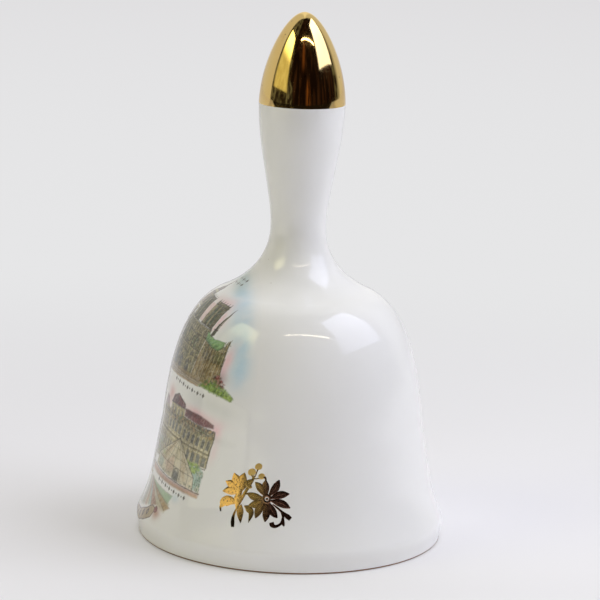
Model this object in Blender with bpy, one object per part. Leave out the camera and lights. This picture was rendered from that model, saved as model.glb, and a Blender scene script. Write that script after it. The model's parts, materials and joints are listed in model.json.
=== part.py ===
"""A glazed porcelain hand bell: a slip-cast bell with its handle, gilded finial and rim,
fired decoration, and a ball clapper that hangs on a brass chain from a plug in the throat.

Metres, +Z up. The bell stands on its mouth at z = 0 and its axis is the Z axis.
"""

import bisect
import math

import bmesh
import bpy

MM = 0.001

# The bell's outer outline, as knots of a smooth curve from the mouth to the tip:
# radius, height, lean from the vertical in degrees (outwards is positive),
# and the lengths of the curve's handles below and above the knot. Millimetres.
OUTLINE_KNOTS = (
    (38.55, 0.7, 4.0, 0.0, 1.8),  # outer edge of the foot
    (38.9, 5.6, -23.3, 1.4, 8.9),  # top of the thick lip
    (33.1, 30.0, -10.0, 16.8, 4.8),  # waist
    (19.6, 62.7, -64.2, 13.1, 2.1),  # shoulder
    (7.0, 79.4, 0.0, 11.5, 7.9),  # neck, the narrowest place
    (10.8, 109.6, 0.0, 10.0, 10.9),  # widest place of the handle
    (0.0, 133.0, -90.0, 4.5, 0.0),  # tip
)
OUTLINE_STEPS = (3, 7, 8, 7, 6, 9)  # straight steps along each stretch between knots

WALL = 2.7 * MM  # porcelain thickness, square to the surface
FOOT_OUTER = 38.0 * MM
FOOT_INNER = 36.7 * MM
INNER_LIP_RADIUS = 36.15 * MM
INNER_LIP_HEIGHT = 0.7 * MM
SEGMENTS = 48  # facets round the bell
INNER_SKIP = 2  # the inside takes every second point of the outline

# Fired layers that lie on the glaze
LAYER_GAP = 0.1 * MM
LAYER_THICKNESS = 0.25 * MM
GILT_LINE_HEIGHT = 110.3 * MM  # lower edge of the gilded finial
RIM_GILT_LOW = 0.75 * MM
RIM_GILT_HIGH = 1.6 * MM
FILM_GAP = 0.3 * MM  # room for the flats of both facetted surfaces
FILM_THICKNESS = 0.2 * MM
FILM_SPOKES = 40
FILM_REFINE = 3  # finer steps of the outline under a film

# The printed view, round the -X side, and the gilt spray, beside the -Y direction.
# Azimuth is counted from -Y towards +X, in degrees; reach is counted along the outline
# from the foot.
VIEW_AZIMUTH = -84.0
VIEW_HALF_WIDTH = 56.0
VIEW_REACH = (6.0 * MM, 73.0 * MM)
VIEW_SQUARENESS = 3.0
VIEW_RINGS = 10
SPRAY_AZIMUTH = -13.5
SPRAY_HALF_WIDTH = 14.0
SPRAY_REACH = (10.0 * MM, 25.6 * MM)
SPRAY_RINGS = 3
SPRAY_LOBES = 10
SPRAY_LOBE_DEPTH = 0.09

# Chain and clapper
WIRE_RADIUS = 0.55 * MM
WIRE_SIDES_STEP = 1  # bevel resolution: six sides round a wire
EYE_RADIUS = 1.9 * MM  # to the wire's centre line
EYE_CENTRE = 64.6 * MM
EYE_START = 35.0  # degrees from the shank at which the bend joins the eye
EYE_END = 338.0  # degrees at which the cut end stops, short of the shank
EYE_STEPS = 16
NECK_LENGTH = 0.9 * MM  # bend between the eye and the straight shank
NECK_STEPS = (0.0, 0.35, 0.7)  # shares of the way from the shank to the eye
LINK_COUNT = 6
LINK_PITCH = 5.6 * MM  # from one contact to the next
WIRE_REST = 1.25 * MM  # centre line of a hanging wire above the centre line it rests on
LINK_HALF_WIDTH = 1.7 * MM  # to the wire's centre line
LINK_ARC_STEPS = 8
BALL_RADIUS = 7.5 * MM
BALL_CENTRE = 17.0 * MM
BALL_BORE = 0.9 * MM
BALL_STEPS = 14
SMALL_SEGMENTS = 24
WASHER_BORE = 0.85 * MM
WASHER_RADIUS = 2.2 * MM
WASHER_THICKNESS = 0.4 * MM
WASHER_GAP = 0.15 * MM
HEAD_RADIUS = 1.3 * MM
HEAD_HEIGHT = 0.8 * MM
HEAD_PROFILE = ((1.0, 0.35), (0.9, 0.75), (0.55, 1.0), (0.1, 1.0))  # shares of height, radius
PLUG_LOW = 68.6 * MM
PLUG_HIGH = 77.0 * MM
PLUG_GAP = 0.3 * MM
PLUG_BORE = 0.9 * MM
PLUG_STEPS = 6
PLUG_REFINE = 2

MERGE = 1e-7
SHARP_ANGLE = 40.0  # degrees between faces above which an edge stays crisp

# Linear colours
PORCELAIN_WHITE = (0.86, 0.86, 0.83)
GOLD = (0.83, 0.56, 0.18)
PRINT_TONE = (0.72, 0.62, 0.52)
BRASS = (0.72, 0.55, 0.28)
PLASTER = (0.78, 0.76, 0.70)
GLAZE_ROUGHNESS = 0.08
GOLD_ROUGHNESS = 0.12
PRINT_ROUGHNESS = 0.15
BRASS_ROUGHNESS = 0.3
PLASTER_ROUGHNESS = 0.9


def clear_scene():
    for old in list(bpy.data.objects):
        bpy.data.objects.remove(old, do_unlink=True)


def material(name, colour, roughness, metallic=0.0, coat=0.0):
    made = bpy.data.materials.new(name)
    made.use_nodes = True
    made.diffuse_color = (*colour, 1.0)
    shader = made.node_tree.nodes["Principled BSDF"]
    shader.inputs["Base Color"].default_value = (*colour, 1.0)
    shader.inputs["Roughness"].default_value = roughness
    shader.inputs["Metallic"].default_value = metallic
    shader.inputs["Coat Weight"].default_value = coat
    return made


def outline_sample(stretch, t):
    """Point and unit direction of the outline, t of the way from one knot to the next."""
    r0, z0, lean0, _, handle0 = OUTLINE_KNOTS[stretch]
    r3, z3, lean3, handle3, _ = OUTLINE_KNOTS[stretch + 1]
    lean0, lean3 = math.radians(lean0), math.radians(lean3)
    radii = (r0, r0 + handle0 * math.sin(lean0), r3 - handle3 * math.sin(lean3), r3)
    heights = (z0, z0 + handle0 * math.cos(lean0), z3 - handle3 * math.cos(lean3), z3)
    s = 1.0 - t
    weights = (s**3, 3 * s * s * t, 3 * s * t * t, t**3)
    slopes = (-3 * s * s, 3 * s * s - 6 * s * t, 6 * s * t - 3 * t * t, 3 * t * t)
    point = [MM * sum(w * v for w, v in zip(weights, row)) for row in (radii, heights)]
    along = [sum(w * v for w, v in zip(slopes, row)) for row in (radii, heights)]
    if stretch == 0 and t == 0.0 and handle0 == 0.0:
        along = [math.sin(lean0), math.cos(lean0)]
    length = math.hypot(*along)
    return point, [along[0] / length, along[1] / length]


def outline(inset=0.0, refine=1):
    """(radius, height) along the outline from foot to tip, moved inwards by inset."""
    points = []
    for stretch, steps in enumerate(OUTLINE_STEPS):
        steps *= refine
        last = stretch == len(OUTLINE_STEPS) - 1
        for step in range(steps + last):
            (r, z), (dr, dz) = outline_sample(stretch, step / steps)
            points.append((r - inset * dz, z + inset * dr))
    return points


def radius_at(points, height):
    """Radius of an outline at a height."""
    heights = [z for _, z in points]
    i = min(max(bisect.bisect_right(heights, height), 1), len(points) - 1)
    (r0, z0), (r1, z1) = points[i - 1], points[i]
    return r0 + (r1 - r0) * (height - z0) / (z1 - z0)


def point_along(points, reach):
    """Point of an outline at a distance along it from its first point."""
    for (r0, z0), (r1, z1) in zip(points, points[1:]):
        length = math.hypot(r1 - r0, z1 - z0)
        if reach <= length:
            break
        reach -= length
    part = reach / length
    return r0 + (r1 - r0) * part, z0 + (z1 - z0) * part


def link_to_scene(obj, finish):
    bpy.context.scene.collection.objects.link(obj)
    obj.data.materials.append(finish)
    return obj


def finish_mesh(name, mesh, finish):
    mesh.shade_smooth()
    mesh.set_sharp_from_angle(angle=math.radians(SHARP_ANGLE))
    return link_to_scene(bpy.data.objects.new(name, mesh), finish)


def lathe(name, points, finish, segments, ring=False):
    """Turns a (radius, height) profile about Z; a ring's profile closes on itself."""
    bm = bmesh.new()
    verts = [bm.verts.new((r, 0.0, z)) for r, z in points]
    pairs = list(zip(verts, verts[1:]))
    if ring:
        pairs.append((verts[-1], verts[0]))
    edges = [bm.edges.new(pair) for pair in pairs]
    bmesh.ops.spin(
        bm,
        geom=verts + edges,
        cent=(0.0, 0.0, 0.0),
        axis=(0.0, 0.0, 1.0),
        angle=math.tau,
        steps=segments,
    )
    bmesh.ops.remove_doubles(bm, verts=bm.verts, dist=MERGE)
    bmesh.ops.dissolve_degenerate(bm, edges=bm.edges, dist=MERGE)
    bmesh.ops.recalc_face_normals(bm, faces=bm.faces)
    mesh = bpy.data.meshes.new(name)
    bm.to_mesh(mesh)
    bm.free()
    return finish_mesh(name, mesh, finish)


def bell_body(finish):
    """The porcelain in one piece: bell, shoulder, neck and handle, hollow up to the tip."""
    outside = outline()
    inside = outline(WALL)[OUTLINE_STEPS[0] :: INNER_SKIP]
    inside[-1] = (0.0, outside[-1][1] - WALL)
    foot = [(INNER_LIP_RADIUS, INNER_LIP_HEIGHT), (FOOT_INNER, 0.0), (FOOT_OUTER, 0.0)]
    profile = inside[::-1] + foot + outside
    profile[-1] = (0.0, outside[-1][1])
    return lathe("bell_body", profile, finish, SEGMENTS)


def layer(name, low, high, finish):
    """A fired layer of gold round the bell between two heights."""
    inner = outline(-LAYER_GAP)
    outer = outline(-LAYER_GAP - LAYER_THICKNESS)
    chosen = [i for i, (_, z) in enumerate(outline()) if low < z < high]

    def stretch(points):
        ends = [(radius_at(points, z), z) for z in (low, high)]
        middle = [points[i] for i in chosen]
        if high > points[-1][1]:
            return ends[:1] + middle[:-1] + [(0.0, points[-1][1])]
        return ends[:1] + middle + ends[1:]

    profile = stretch(outer)[::-1] + stretch(inner)
    return lathe(name, profile, finish, SEGMENTS, ring=high < inner[-1][1])


def film(name, azimuth, half_width, reach, edge, ring_count, finish):
    """A thin printed film on the outside of the bell; edge(angle) is its extent, about 1."""
    surface = outline(-FILM_GAP, refine=FILM_REFINE)
    middle, half_height = (reach[0] + reach[1]) / 2, (reach[1] - reach[0]) / 2

    def on_bell(across, up):
        turn = math.radians(azimuth + half_width * across)
        radius, height = point_along(surface, middle + half_height * up)
        return radius * math.sin(turn), -radius * math.cos(turn), height

    bm = bmesh.new()
    rings = []
    for ring in range(1, ring_count + 1):
        row = []
        for spoke in range(FILM_SPOKES):
            angle = math.tau * spoke / FILM_SPOKES
            extent = edge(angle) * ring / ring_count
            spot = on_bell(extent * math.cos(angle), extent * math.sin(angle))
            row.append(bm.verts.new(spot))
        rings.append(row)
    centre = bm.verts.new(on_bell(0.0, 0.0))
    for spoke in range(FILM_SPOKES):
        after = (spoke + 1) % FILM_SPOKES
        bm.faces.new((centre, rings[0][spoke], rings[0][after]))
        for inner, outer in zip(rings, rings[1:]):
            bm.faces.new((inner[spoke], outer[spoke], outer[after], inner[after]))
    mesh = bpy.data.meshes.new(name)
    bm.to_mesh(mesh)
    bm.free()
    obj = finish_mesh(name, mesh, finish)
    thick = obj.modifiers.new("thickness", "SOLIDIFY")
    thick.thickness = FILM_THICKNESS
    thick.offset = 1.0
    return obj


def view_edge(angle):
    """A rounded rectangle."""
    n = VIEW_SQUARENESS
    return (abs(math.cos(angle)) ** n + abs(math.sin(angle)) ** n) ** (-1 / n)


def spray_edge(angle):
    """A scalloped oval."""
    return 1.0 - SPRAY_LOBE_DEPTH * (1.0 - math.cos(SPRAY_LOBES * angle)) / 2


def wire_data(name, points, thicknesses, finish, cyclic=False):
    """A round wire along (x, z) points; each thickness is in wire radii."""
    curve = bpy.data.curves.new(name, "CURVE")
    curve.dimensions = "3D"
    curve.bevel_depth = WIRE_RADIUS
    curve.bevel_resolution = WIRE_SIDES_STEP
    curve.use_fill_caps = not cyclic
    spline = curve.splines.new("POLY")
    spline.points.add(len(points) - 1)
    for point, (x, z), thickness in zip(spline.points, points, thicknesses):
        point.co = (x, 0.0, z, 1.0)
        point.radius = thickness
    spline.use_cyclic_u = cyclic
    curve.materials.append(finish)
    return curve


def eye_path():
    """An eye bent at the lower end of a shank, its centre at the origin, from the shank."""
    start = math.radians(EYE_START)
    end = math.radians(EYE_END)
    join = (EYE_RADIUS * math.sin(start), EYE_RADIUS * math.cos(start))
    top = EYE_RADIUS + NECK_LENGTH
    corner = (top + join[1]) / 2
    bend = []
    for t in NECK_STEPS:
        s = 1.0 - t
        bend.append((t * t * join[0], s * s * top + 2 * s * t * corner + t * t * join[1]))
    loop = []
    for step in range(EYE_STEPS + 1):
        angle = start + (end - start) * step / EYE_STEPS
        loop.append((EYE_RADIUS * math.sin(angle), EYE_RADIUS * math.cos(angle)))
    return bend + loop


def riveted_wire(name, shank, finish):
    """A wire with an eye at the origin, and a peened head that far above the eye's centre."""
    eye = eye_path()
    head = [(shank + up * HEAD_HEIGHT, out * HEAD_RADIUS) for up, out in HEAD_PROFILE]
    head.append((shank, WIRE_RADIUS))
    points = [(0.0, z) for z, _ in head] + eye
    thicknesses = [r / WIRE_RADIUS for _, r in head] + [1.0] * len(eye)
    return wire_data(name, points, thicknesses, finish)


def link_data(finish):
    """One chain link with its pivot at the origin, hanging down, in the XZ plane."""
    top = WIRE_REST - LINK_HALF_WIDTH
    bottom = -LINK_PITCH + LINK_HALF_WIDTH
    points = []
    for centre, first in ((top, 0.0), (bottom, math.pi)):
        for step in range(LINK_ARC_STEPS + 1):
            angle = first + math.pi * step / LINK_ARC_STEPS
            x = LINK_HALF_WIDTH * math.cos(angle)
            points.append((x, centre + LINK_HALF_WIDTH * math.sin(angle)))
    return wire_data("chain_link", points, [1.0] * len(points), finish, cyclic=True)


def place(obj, parent, location, turn=0.0):
    """Puts an object at a place in its parent's space, turned about Z."""
    obj.parent = parent
    obj.location = location
    obj.rotation_euler = (0.0, 0.0, turn)
    return obj


def washer(name, finish):
    """A flat washer standing on its own origin."""
    corners = [
        (WASHER_BORE, WASHER_THICKNESS),
        (WASHER_BORE, 0.0),
        (WASHER_RADIUS, 0.0),
        (WASHER_RADIUS, WASHER_THICKNESS),
    ]
    return lathe(name, corners, finish, SMALL_SEGMENTS, ring=True)


def throat_plug(finish):
    """The tapered bung that wedges in the throat and carries the eye."""
    wall = outline(WALL + PLUG_GAP, refine=PLUG_REFINE)
    heights = [PLUG_LOW + (PLUG_HIGH - PLUG_LOW) * i / PLUG_STEPS for i in range(PLUG_STEPS + 1)]
    outside = [(radius_at(wall, z), z) for z in heights]
    profile = [(PLUG_BORE, PLUG_HIGH), (PLUG_BORE, PLUG_LOW)] + outside
    return lathe("throat_plug", profile, finish, SEGMENTS, ring=True)


def clapper_ball(finish):
    """A bored ball whose origin is its centre."""
    first = math.asin(BALL_BORE / BALL_RADIUS)
    sphere = []
    for step in range(BALL_STEPS + 1):
        angle = first + (math.pi - 2 * first) * step / BALL_STEPS
        sphere.append((BALL_RADIUS * math.sin(angle), BALL_RADIUS * math.cos(angle)))
    return lathe("clapper_ball", sphere, finish, SMALL_SEGMENTS, ring=True)


def hang_chain(finish):
    """The eye pin and the links, each a child of the one it hangs from."""
    shank = PLUG_HIGH + WASHER_GAP * 2 + WASHER_THICKNESS - EYE_CENTRE
    eye = bpy.data.objects.new("eye_pin", riveted_wire("eye_pin", shank, finish))
    bpy.context.scene.collection.objects.link(eye)
    eye.location = (0.0, 0.0, EYE_CENTRE)
    shape = link_data(finish)
    parent, drop = eye, EYE_RADIUS
    for number in range(1, LINK_COUNT + 1):
        link = bpy.data.objects.new(f"chain_link_{number}", shape)
        bpy.context.scene.collection.objects.link(link)
        place(link, parent, (0.0, 0.0, -drop), math.pi / 2)
        parent, drop = link, LINK_PITCH
    return parent


def hang_clapper(last_link, brass, porcelain):
    """The riveted wire, its ball and its stop washer, below the last link."""
    pivot = EYE_CENTRE - EYE_RADIUS - LINK_COUNT * LINK_PITCH
    eye_centre = pivot + WIRE_REST - EYE_RADIUS
    stop = BALL_CENTRE - math.sqrt(BALL_RADIUS**2 - BALL_BORE**2) - WASHER_GAP
    shank = eye_centre - (stop - WASHER_THICKNESS - WASHER_GAP)
    data = riveted_wire("clapper_wire", shank, brass)
    for point in data.splines[0].points:
        x, y, z, w = point.co
        point.co = (x, y, eye_centre - pivot - z, w)
    wire = bpy.data.objects.new("clapper_wire", data)
    bpy.context.scene.collection.objects.link(wire)
    place(wire, last_link, (0.0, 0.0, -LINK_PITCH), math.pi / 2)
    place(clapper_ball(porcelain), wire, (0.0, 0.0, BALL_CENTRE - pivot))
    stop_washer = washer("stop_washer", brass)
    place(stop_washer, wire, (0.0, 0.0, stop - WASHER_THICKNESS - pivot))


def build():
    clear_scene()
    porcelain = material("porcelain", PORCELAIN_WHITE, GLAZE_ROUGHNESS, coat=1.0)
    gold = material("bright_gold", GOLD, GOLD_ROUGHNESS, metallic=1.0)
    print_ink = material("fired_print", PRINT_TONE, PRINT_ROUGHNESS, coat=1.0)
    brass = material("brass", BRASS, BRASS_ROUGHNESS, metallic=1.0)
    plaster = material("plaster", PLASTER, PLASTER_ROUGHNESS)

    bell_body(porcelain)
    layer("finial_gilding", GILT_LINE_HEIGHT, OUTLINE_KNOTS[-1][1] * MM + WALL, gold)
    layer("rim_gilding", RIM_GILT_LOW, RIM_GILT_HIGH, gold)
    view = (VIEW_AZIMUTH, VIEW_HALF_WIDTH, VIEW_REACH, view_edge, VIEW_RINGS)
    film("view_transfer", *view, print_ink)
    spray = (SPRAY_AZIMUTH, SPRAY_HALF_WIDTH, SPRAY_REACH, spray_edge, SPRAY_RINGS)
    film("flower_gilding", *spray, gold)
    throat_plug(plaster)
    washer("pin_washer", brass).location = (0.0, 0.0, PLUG_HIGH + WASHER_GAP)
    hang_clapper(hang_chain(brass), brass, porcelain)


build()
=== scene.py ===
"""The looks of a glazed porcelain hand bell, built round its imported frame.

Metres, +Z up, the bell on its mouth at z = 0. Places on the bell are given as an azimuth,
in degrees from -Y towards +X, and a reach, in millimetres along the outline from the foot.
"""

import json
import math

import bpy
import numpy as np
from mathutils import Matrix, Vector

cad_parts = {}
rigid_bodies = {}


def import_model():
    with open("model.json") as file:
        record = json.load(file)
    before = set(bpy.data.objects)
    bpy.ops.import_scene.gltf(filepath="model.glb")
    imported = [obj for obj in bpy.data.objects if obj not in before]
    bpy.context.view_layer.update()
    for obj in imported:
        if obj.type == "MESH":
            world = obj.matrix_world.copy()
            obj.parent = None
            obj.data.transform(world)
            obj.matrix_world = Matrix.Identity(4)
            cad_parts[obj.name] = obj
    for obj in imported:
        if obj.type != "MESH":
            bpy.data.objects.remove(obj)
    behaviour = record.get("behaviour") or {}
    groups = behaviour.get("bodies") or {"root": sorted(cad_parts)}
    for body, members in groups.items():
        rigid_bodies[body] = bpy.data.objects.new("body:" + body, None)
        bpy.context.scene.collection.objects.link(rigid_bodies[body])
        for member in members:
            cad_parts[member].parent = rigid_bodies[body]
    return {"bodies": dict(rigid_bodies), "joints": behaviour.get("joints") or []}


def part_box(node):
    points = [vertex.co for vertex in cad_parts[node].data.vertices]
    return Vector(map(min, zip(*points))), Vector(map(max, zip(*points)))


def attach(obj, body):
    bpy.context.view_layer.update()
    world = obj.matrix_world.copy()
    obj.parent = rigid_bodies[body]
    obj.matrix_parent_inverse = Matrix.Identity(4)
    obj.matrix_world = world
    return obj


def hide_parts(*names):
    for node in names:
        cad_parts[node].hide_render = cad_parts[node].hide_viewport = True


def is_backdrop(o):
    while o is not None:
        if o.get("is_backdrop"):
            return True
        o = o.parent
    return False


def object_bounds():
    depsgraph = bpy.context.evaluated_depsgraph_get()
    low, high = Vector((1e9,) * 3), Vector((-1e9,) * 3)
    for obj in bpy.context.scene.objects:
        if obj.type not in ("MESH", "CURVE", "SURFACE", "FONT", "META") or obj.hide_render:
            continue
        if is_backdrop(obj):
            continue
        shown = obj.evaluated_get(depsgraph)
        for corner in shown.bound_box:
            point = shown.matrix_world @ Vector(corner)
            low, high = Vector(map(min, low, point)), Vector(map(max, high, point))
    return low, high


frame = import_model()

CAD_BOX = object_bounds()
CAD_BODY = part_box("bell_body")

# Outline of the bell, from the foot to the tip: radius, height, lean from the vertical in
# degrees (outwards is positive), and the handle lengths below and above the knot.
OUTLINE_KNOTS = (
    (38.55, 0.7, 4.0, 0.0, 1.8),
    (38.9, 5.6, -23.3, 1.4, 8.9),
    (33.1, 30.0, -10.0, 16.8, 4.8),
    (19.6, 62.7, -64.2, 13.1, 2.1),
    (7.0, 79.4, 0.0, 11.5, 7.9),
    (10.8, 109.6, 0.0, 10.0, 10.9),
    (0.0, 133.0, -90.0, 4.5, 0.0),
)
HEIGHT = OUTLINE_KNOTS[-1][1]
MM = (CAD_BODY[1].z - CAD_BODY[0].z) / HEIGHT
ROWS = (10, 46, 44, 34, 30, 34)  # rows of facets along each stretch of the outline
AROUND = 288

WALL = 2.7
FOOT_OUTER = 38.0
FOOT_INNER = 36.7
INNER_LIP = (36.15, 0.7)
GILT_LINE = 110.3
FINIAL_LIFT = 0.01
FINIAL_THICKNESS = 0.03
FINIAL_ROWS = 70
RIM_GILT = (22.0, 66.0)  # degrees up the rounded outer edge of the foot
RIM_LIFTS = (0.03, 0.008)  # outer and inner face of the foot's line
SHARP_ANGLE = 40.0  # degrees between faces above which an edge stays crisp


# --------------------------------------------------------------------------- outline


def knot_curve(stretch, t):
    """Points and directions of the outline along one stretch, in millimetres."""
    r0, z0, lean0, _, handle0 = OUTLINE_KNOTS[stretch]
    r3, z3, lean3, handle3, _ = OUTLINE_KNOTS[stretch + 1]
    lean0, lean3 = math.radians(lean0), math.radians(lean3)
    corners = np.array(
        [
            (r0, z0),
            (r0 + handle0 * math.sin(lean0), z0 + handle0 * math.cos(lean0)),
            (r3 - handle3 * math.sin(lean3), z3 - handle3 * math.cos(lean3)),
            (r3, z3),
        ]
    )
    s = 1.0 - t
    weights = np.stack([s**3, 3 * s * s * t, 3 * s * t * t, t**3], 1)
    slopes = np.stack([-3 * s * s, 3 * s * s - 6 * s * t, 6 * s * t - 3 * t * t, 3 * t * t], 1)
    along = slopes @ corners
    return weights @ corners, along / np.linalg.norm(along, axis=1, keepdims=True)


def outline_rows(rows):
    points, along = [], []
    for stretch, count in enumerate(rows):
        last = stretch == len(rows) - 1
        t = np.linspace(0.0, 1.0, count + 1)[: count + last]
        p, d = knot_curve(stretch, t)
        points.append(p)
        along.append(d)
    return np.concatenate(points), np.concatenate(along)


TABLE_ROWS = 240
table_points, table_along = outline_rows((TABLE_ROWS,) * (len(OUTLINE_KNOTS) - 1))
steps = np.linalg.norm(np.diff(table_points, axis=0), axis=1)
table_reach = np.concatenate([[0.0], np.cumsum(steps)])


def outline_at(reach):
    """Radius, height and outward normal at a reach."""
    r = np.interp(reach, table_reach, table_points[:, 0])
    z = np.interp(reach, table_reach, table_points[:, 1])
    nr = np.interp(reach, table_reach, table_along[:, 1])
    nz = -np.interp(reach, table_reach, table_along[:, 0])
    return r, z, nr, nz


def reach_at(height):
    return float(np.interp(height, table_points[:, 1], table_reach))


def on_bell(azimuth, reach, lift=0.0):
    """World points on the bell, lifted off its surface by so many millimetres."""
    r, z, nr, nz = outline_at(reach)
    turn = np.radians(azimuth)
    r, z = r + nr * lift, z + nz * lift
    return np.stack([r * np.sin(turn), -r * np.cos(turn), z], -1) * MM


# --------------------------------------------------------------------------- meshes


def make_object(name, verts, faces, material, sharp=SHARP_ANGLE):
    mesh = bpy.data.meshes.new(name)
    mesh.from_pydata([tuple(v) for v in np.asarray(verts, float)], [], [tuple(f) for f in faces])
    mesh.validate()
    return link_mesh(name, mesh, material, sharp)


def link_mesh(name, mesh, material, sharp=SHARP_ANGLE):
    mesh.shade_smooth()
    mesh.set_sharp_from_angle(angle=math.radians(sharp))
    mesh.materials.append(material)
    obj = bpy.data.objects.new(name, mesh)
    bpy.context.scene.collection.objects.link(obj)
    return obj


def fit_piece(obj, body, node):
    """Puts a piece on its body, in place of a CAD node."""
    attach(obj, body)
    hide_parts(node)


def lathe(name, profile, material, around=AROUND, ring=False):
    """A turned solid from (radius, height) points in millimetres, going anticlockwise."""
    verts, faces, rows = [], [], []
    turns = np.arange(around) * math.tau / around
    for r, z in profile:
        if r < 1e-6:
            rows.append([len(verts)])
            verts.append((0.0, 0.0, z))
            continue
        rows.append(list(range(len(verts), len(verts) + around)))
        verts.extend(zip(r * np.cos(turns), r * np.sin(turns), [z] * around))
    pairs = list(zip(rows, rows[1:]))
    if ring:
        pairs.append((rows[-1], rows[0]))
    for low, high in pairs:
        for i in range(around):
            j = (i + 1) % around
            if len(low) == 1:
                faces.append((low[0], high[j], high[i]))
            elif len(high) == 1:
                faces.append((low[i], low[j], high[0]))
            else:
                faces.append((low[i], low[j], high[j], high[i]))
    return make_object(name, np.array(verts) * MM, faces, material)


def tube(path, radii, sides=16, closed=False):
    """Vertices and faces of a round tube along a path, in millimetres."""
    path = np.asarray(path, float)
    count = len(path)
    if closed:
        along = np.roll(path, -1, 0) - np.roll(path, 1, 0)
    else:
        along = np.gradient(path, axis=0)
    along /= np.linalg.norm(along, axis=1, keepdims=True)
    side = np.cross(along[0], (0.31, 0.87, 0.39))
    verts = []
    turns = np.arange(sides) * math.tau / sides
    for point, direction, radius in zip(path, along, np.broadcast_to(radii, count)):
        side = side - direction * (side @ direction)
        side /= np.linalg.norm(side)
        other = np.cross(direction, side)
        ring = np.outer(np.cos(turns), side) + np.outer(np.sin(turns), other)
        verts.append(point + ring * radius)
    faces = []
    for k in range(count if closed else count - 1):
        a, b = k * sides, (k + 1) % count * sides
        for i in range(sides):
            j = (i + 1) % sides
            faces.append((a + i, a + j, b + j, b + i))
    if not closed:
        faces.append(tuple(range(sides))[::-1])
        faces.append(tuple(range((count - 1) * sides, count * sides)))
    return np.concatenate(verts), faces


def join_shapes(shapes):
    verts, faces, base = [], [], 0
    for v, f in shapes:
        verts.append(v)
        faces += [tuple(base + i for i in face) for face in f]
        base += len(v)
    return np.concatenate(verts), faces


# --------------------------------------------------------------------------- materials


def srgb(red, green, blue):
    """Linear colour from the 0 to 255 values of a paint chart."""
    channel = np.array([red, green, blue], float) / 255
    return np.where(channel <= 0.04045, channel / 12.92, ((channel + 0.055) / 1.055) ** 2.4)


class Nodes:
    """Shader nodes of one tree, made and wired in single calls."""

    def __init__(self, tree):
        self.tree = tree

    def make(self, kind, inputs=(), **settings):
        node = self.tree.nodes.new(kind)
        for key, value in settings.items():
            setattr(node, key, value)
        for key, value in dict(inputs).items():
            self.feed(node.inputs[key], value)
        return node

    def feed(self, socket, value):
        if isinstance(value, bpy.types.NodeSocket):
            self.tree.links.new(value, socket)
        else:
            socket.default_value = value

    def math(self, operation, *values):
        node = self.make("ShaderNodeMath", operation=operation)
        for socket, value in zip(node.inputs, values):
            self.feed(socket, value)
        return node.outputs[0]

    def band(self, value, low, high, soft):
        """1 between low and high, with soft edges."""
        rise = self.ramp(value, low - soft, low + soft)
        fall = self.ramp(value, high + soft, high - soft)
        return self.math("MULTIPLY", rise, fall)

    def ramp(self, value, start, end, low=0.0, high=1.0):
        inputs = {0: value, 1: start, 2: end, 3: low, 4: high}
        node = self.make("ShaderNodeMapRange", inputs, interpolation_type="SMOOTHSTEP")
        return node.outputs[0]

    def mix(self, share, first, second):
        node = self.make("ShaderNodeMix", {0: share}, data_type="RGBA")
        self.feed(node.inputs[6], colour4(first))
        self.feed(node.inputs[7], colour4(second))
        return node.outputs[2]

    def noise(self, scale, detail=3.0, vector=None, roughness=0.5):
        node = self.make(
            "ShaderNodeTexNoise", {"Scale": scale, "Detail": detail, "Roughness": roughness}
        )
        self.feed(node.inputs["Vector"], vector if vector else self.place())
        return node.outputs["Fac"]

    def place(self):
        return self.make("ShaderNodeTexCoord").outputs["Object"]

    def bump(self, height, strength, distance, normal=None):
        inputs = {"Strength": strength, "Distance": distance, "Height": height}
        node = self.make("ShaderNodeBump", inputs)
        if normal:
            self.feed(node.inputs["Normal"], normal)
        return node.outputs["Normal"]


def colour4(colour):
    if isinstance(colour, bpy.types.NodeSocket):
        return colour
    return (*[float(c) for c in colour][:3], 1.0)


def new_material(name):
    material = bpy.data.materials.new(name)
    material.use_nodes = True
    nodes = Nodes(material.node_tree)
    return material, nodes, material.node_tree.nodes["Principled BSDF"]


def set_shader(nodes, shader, **inputs):
    for key, value in inputs.items():
        nodes.feed(shader.inputs[key.replace("_", " ")], value)


PORCELAIN = srgb(238, 238, 235)
BISCUIT = srgb(226, 220, 206)


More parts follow.
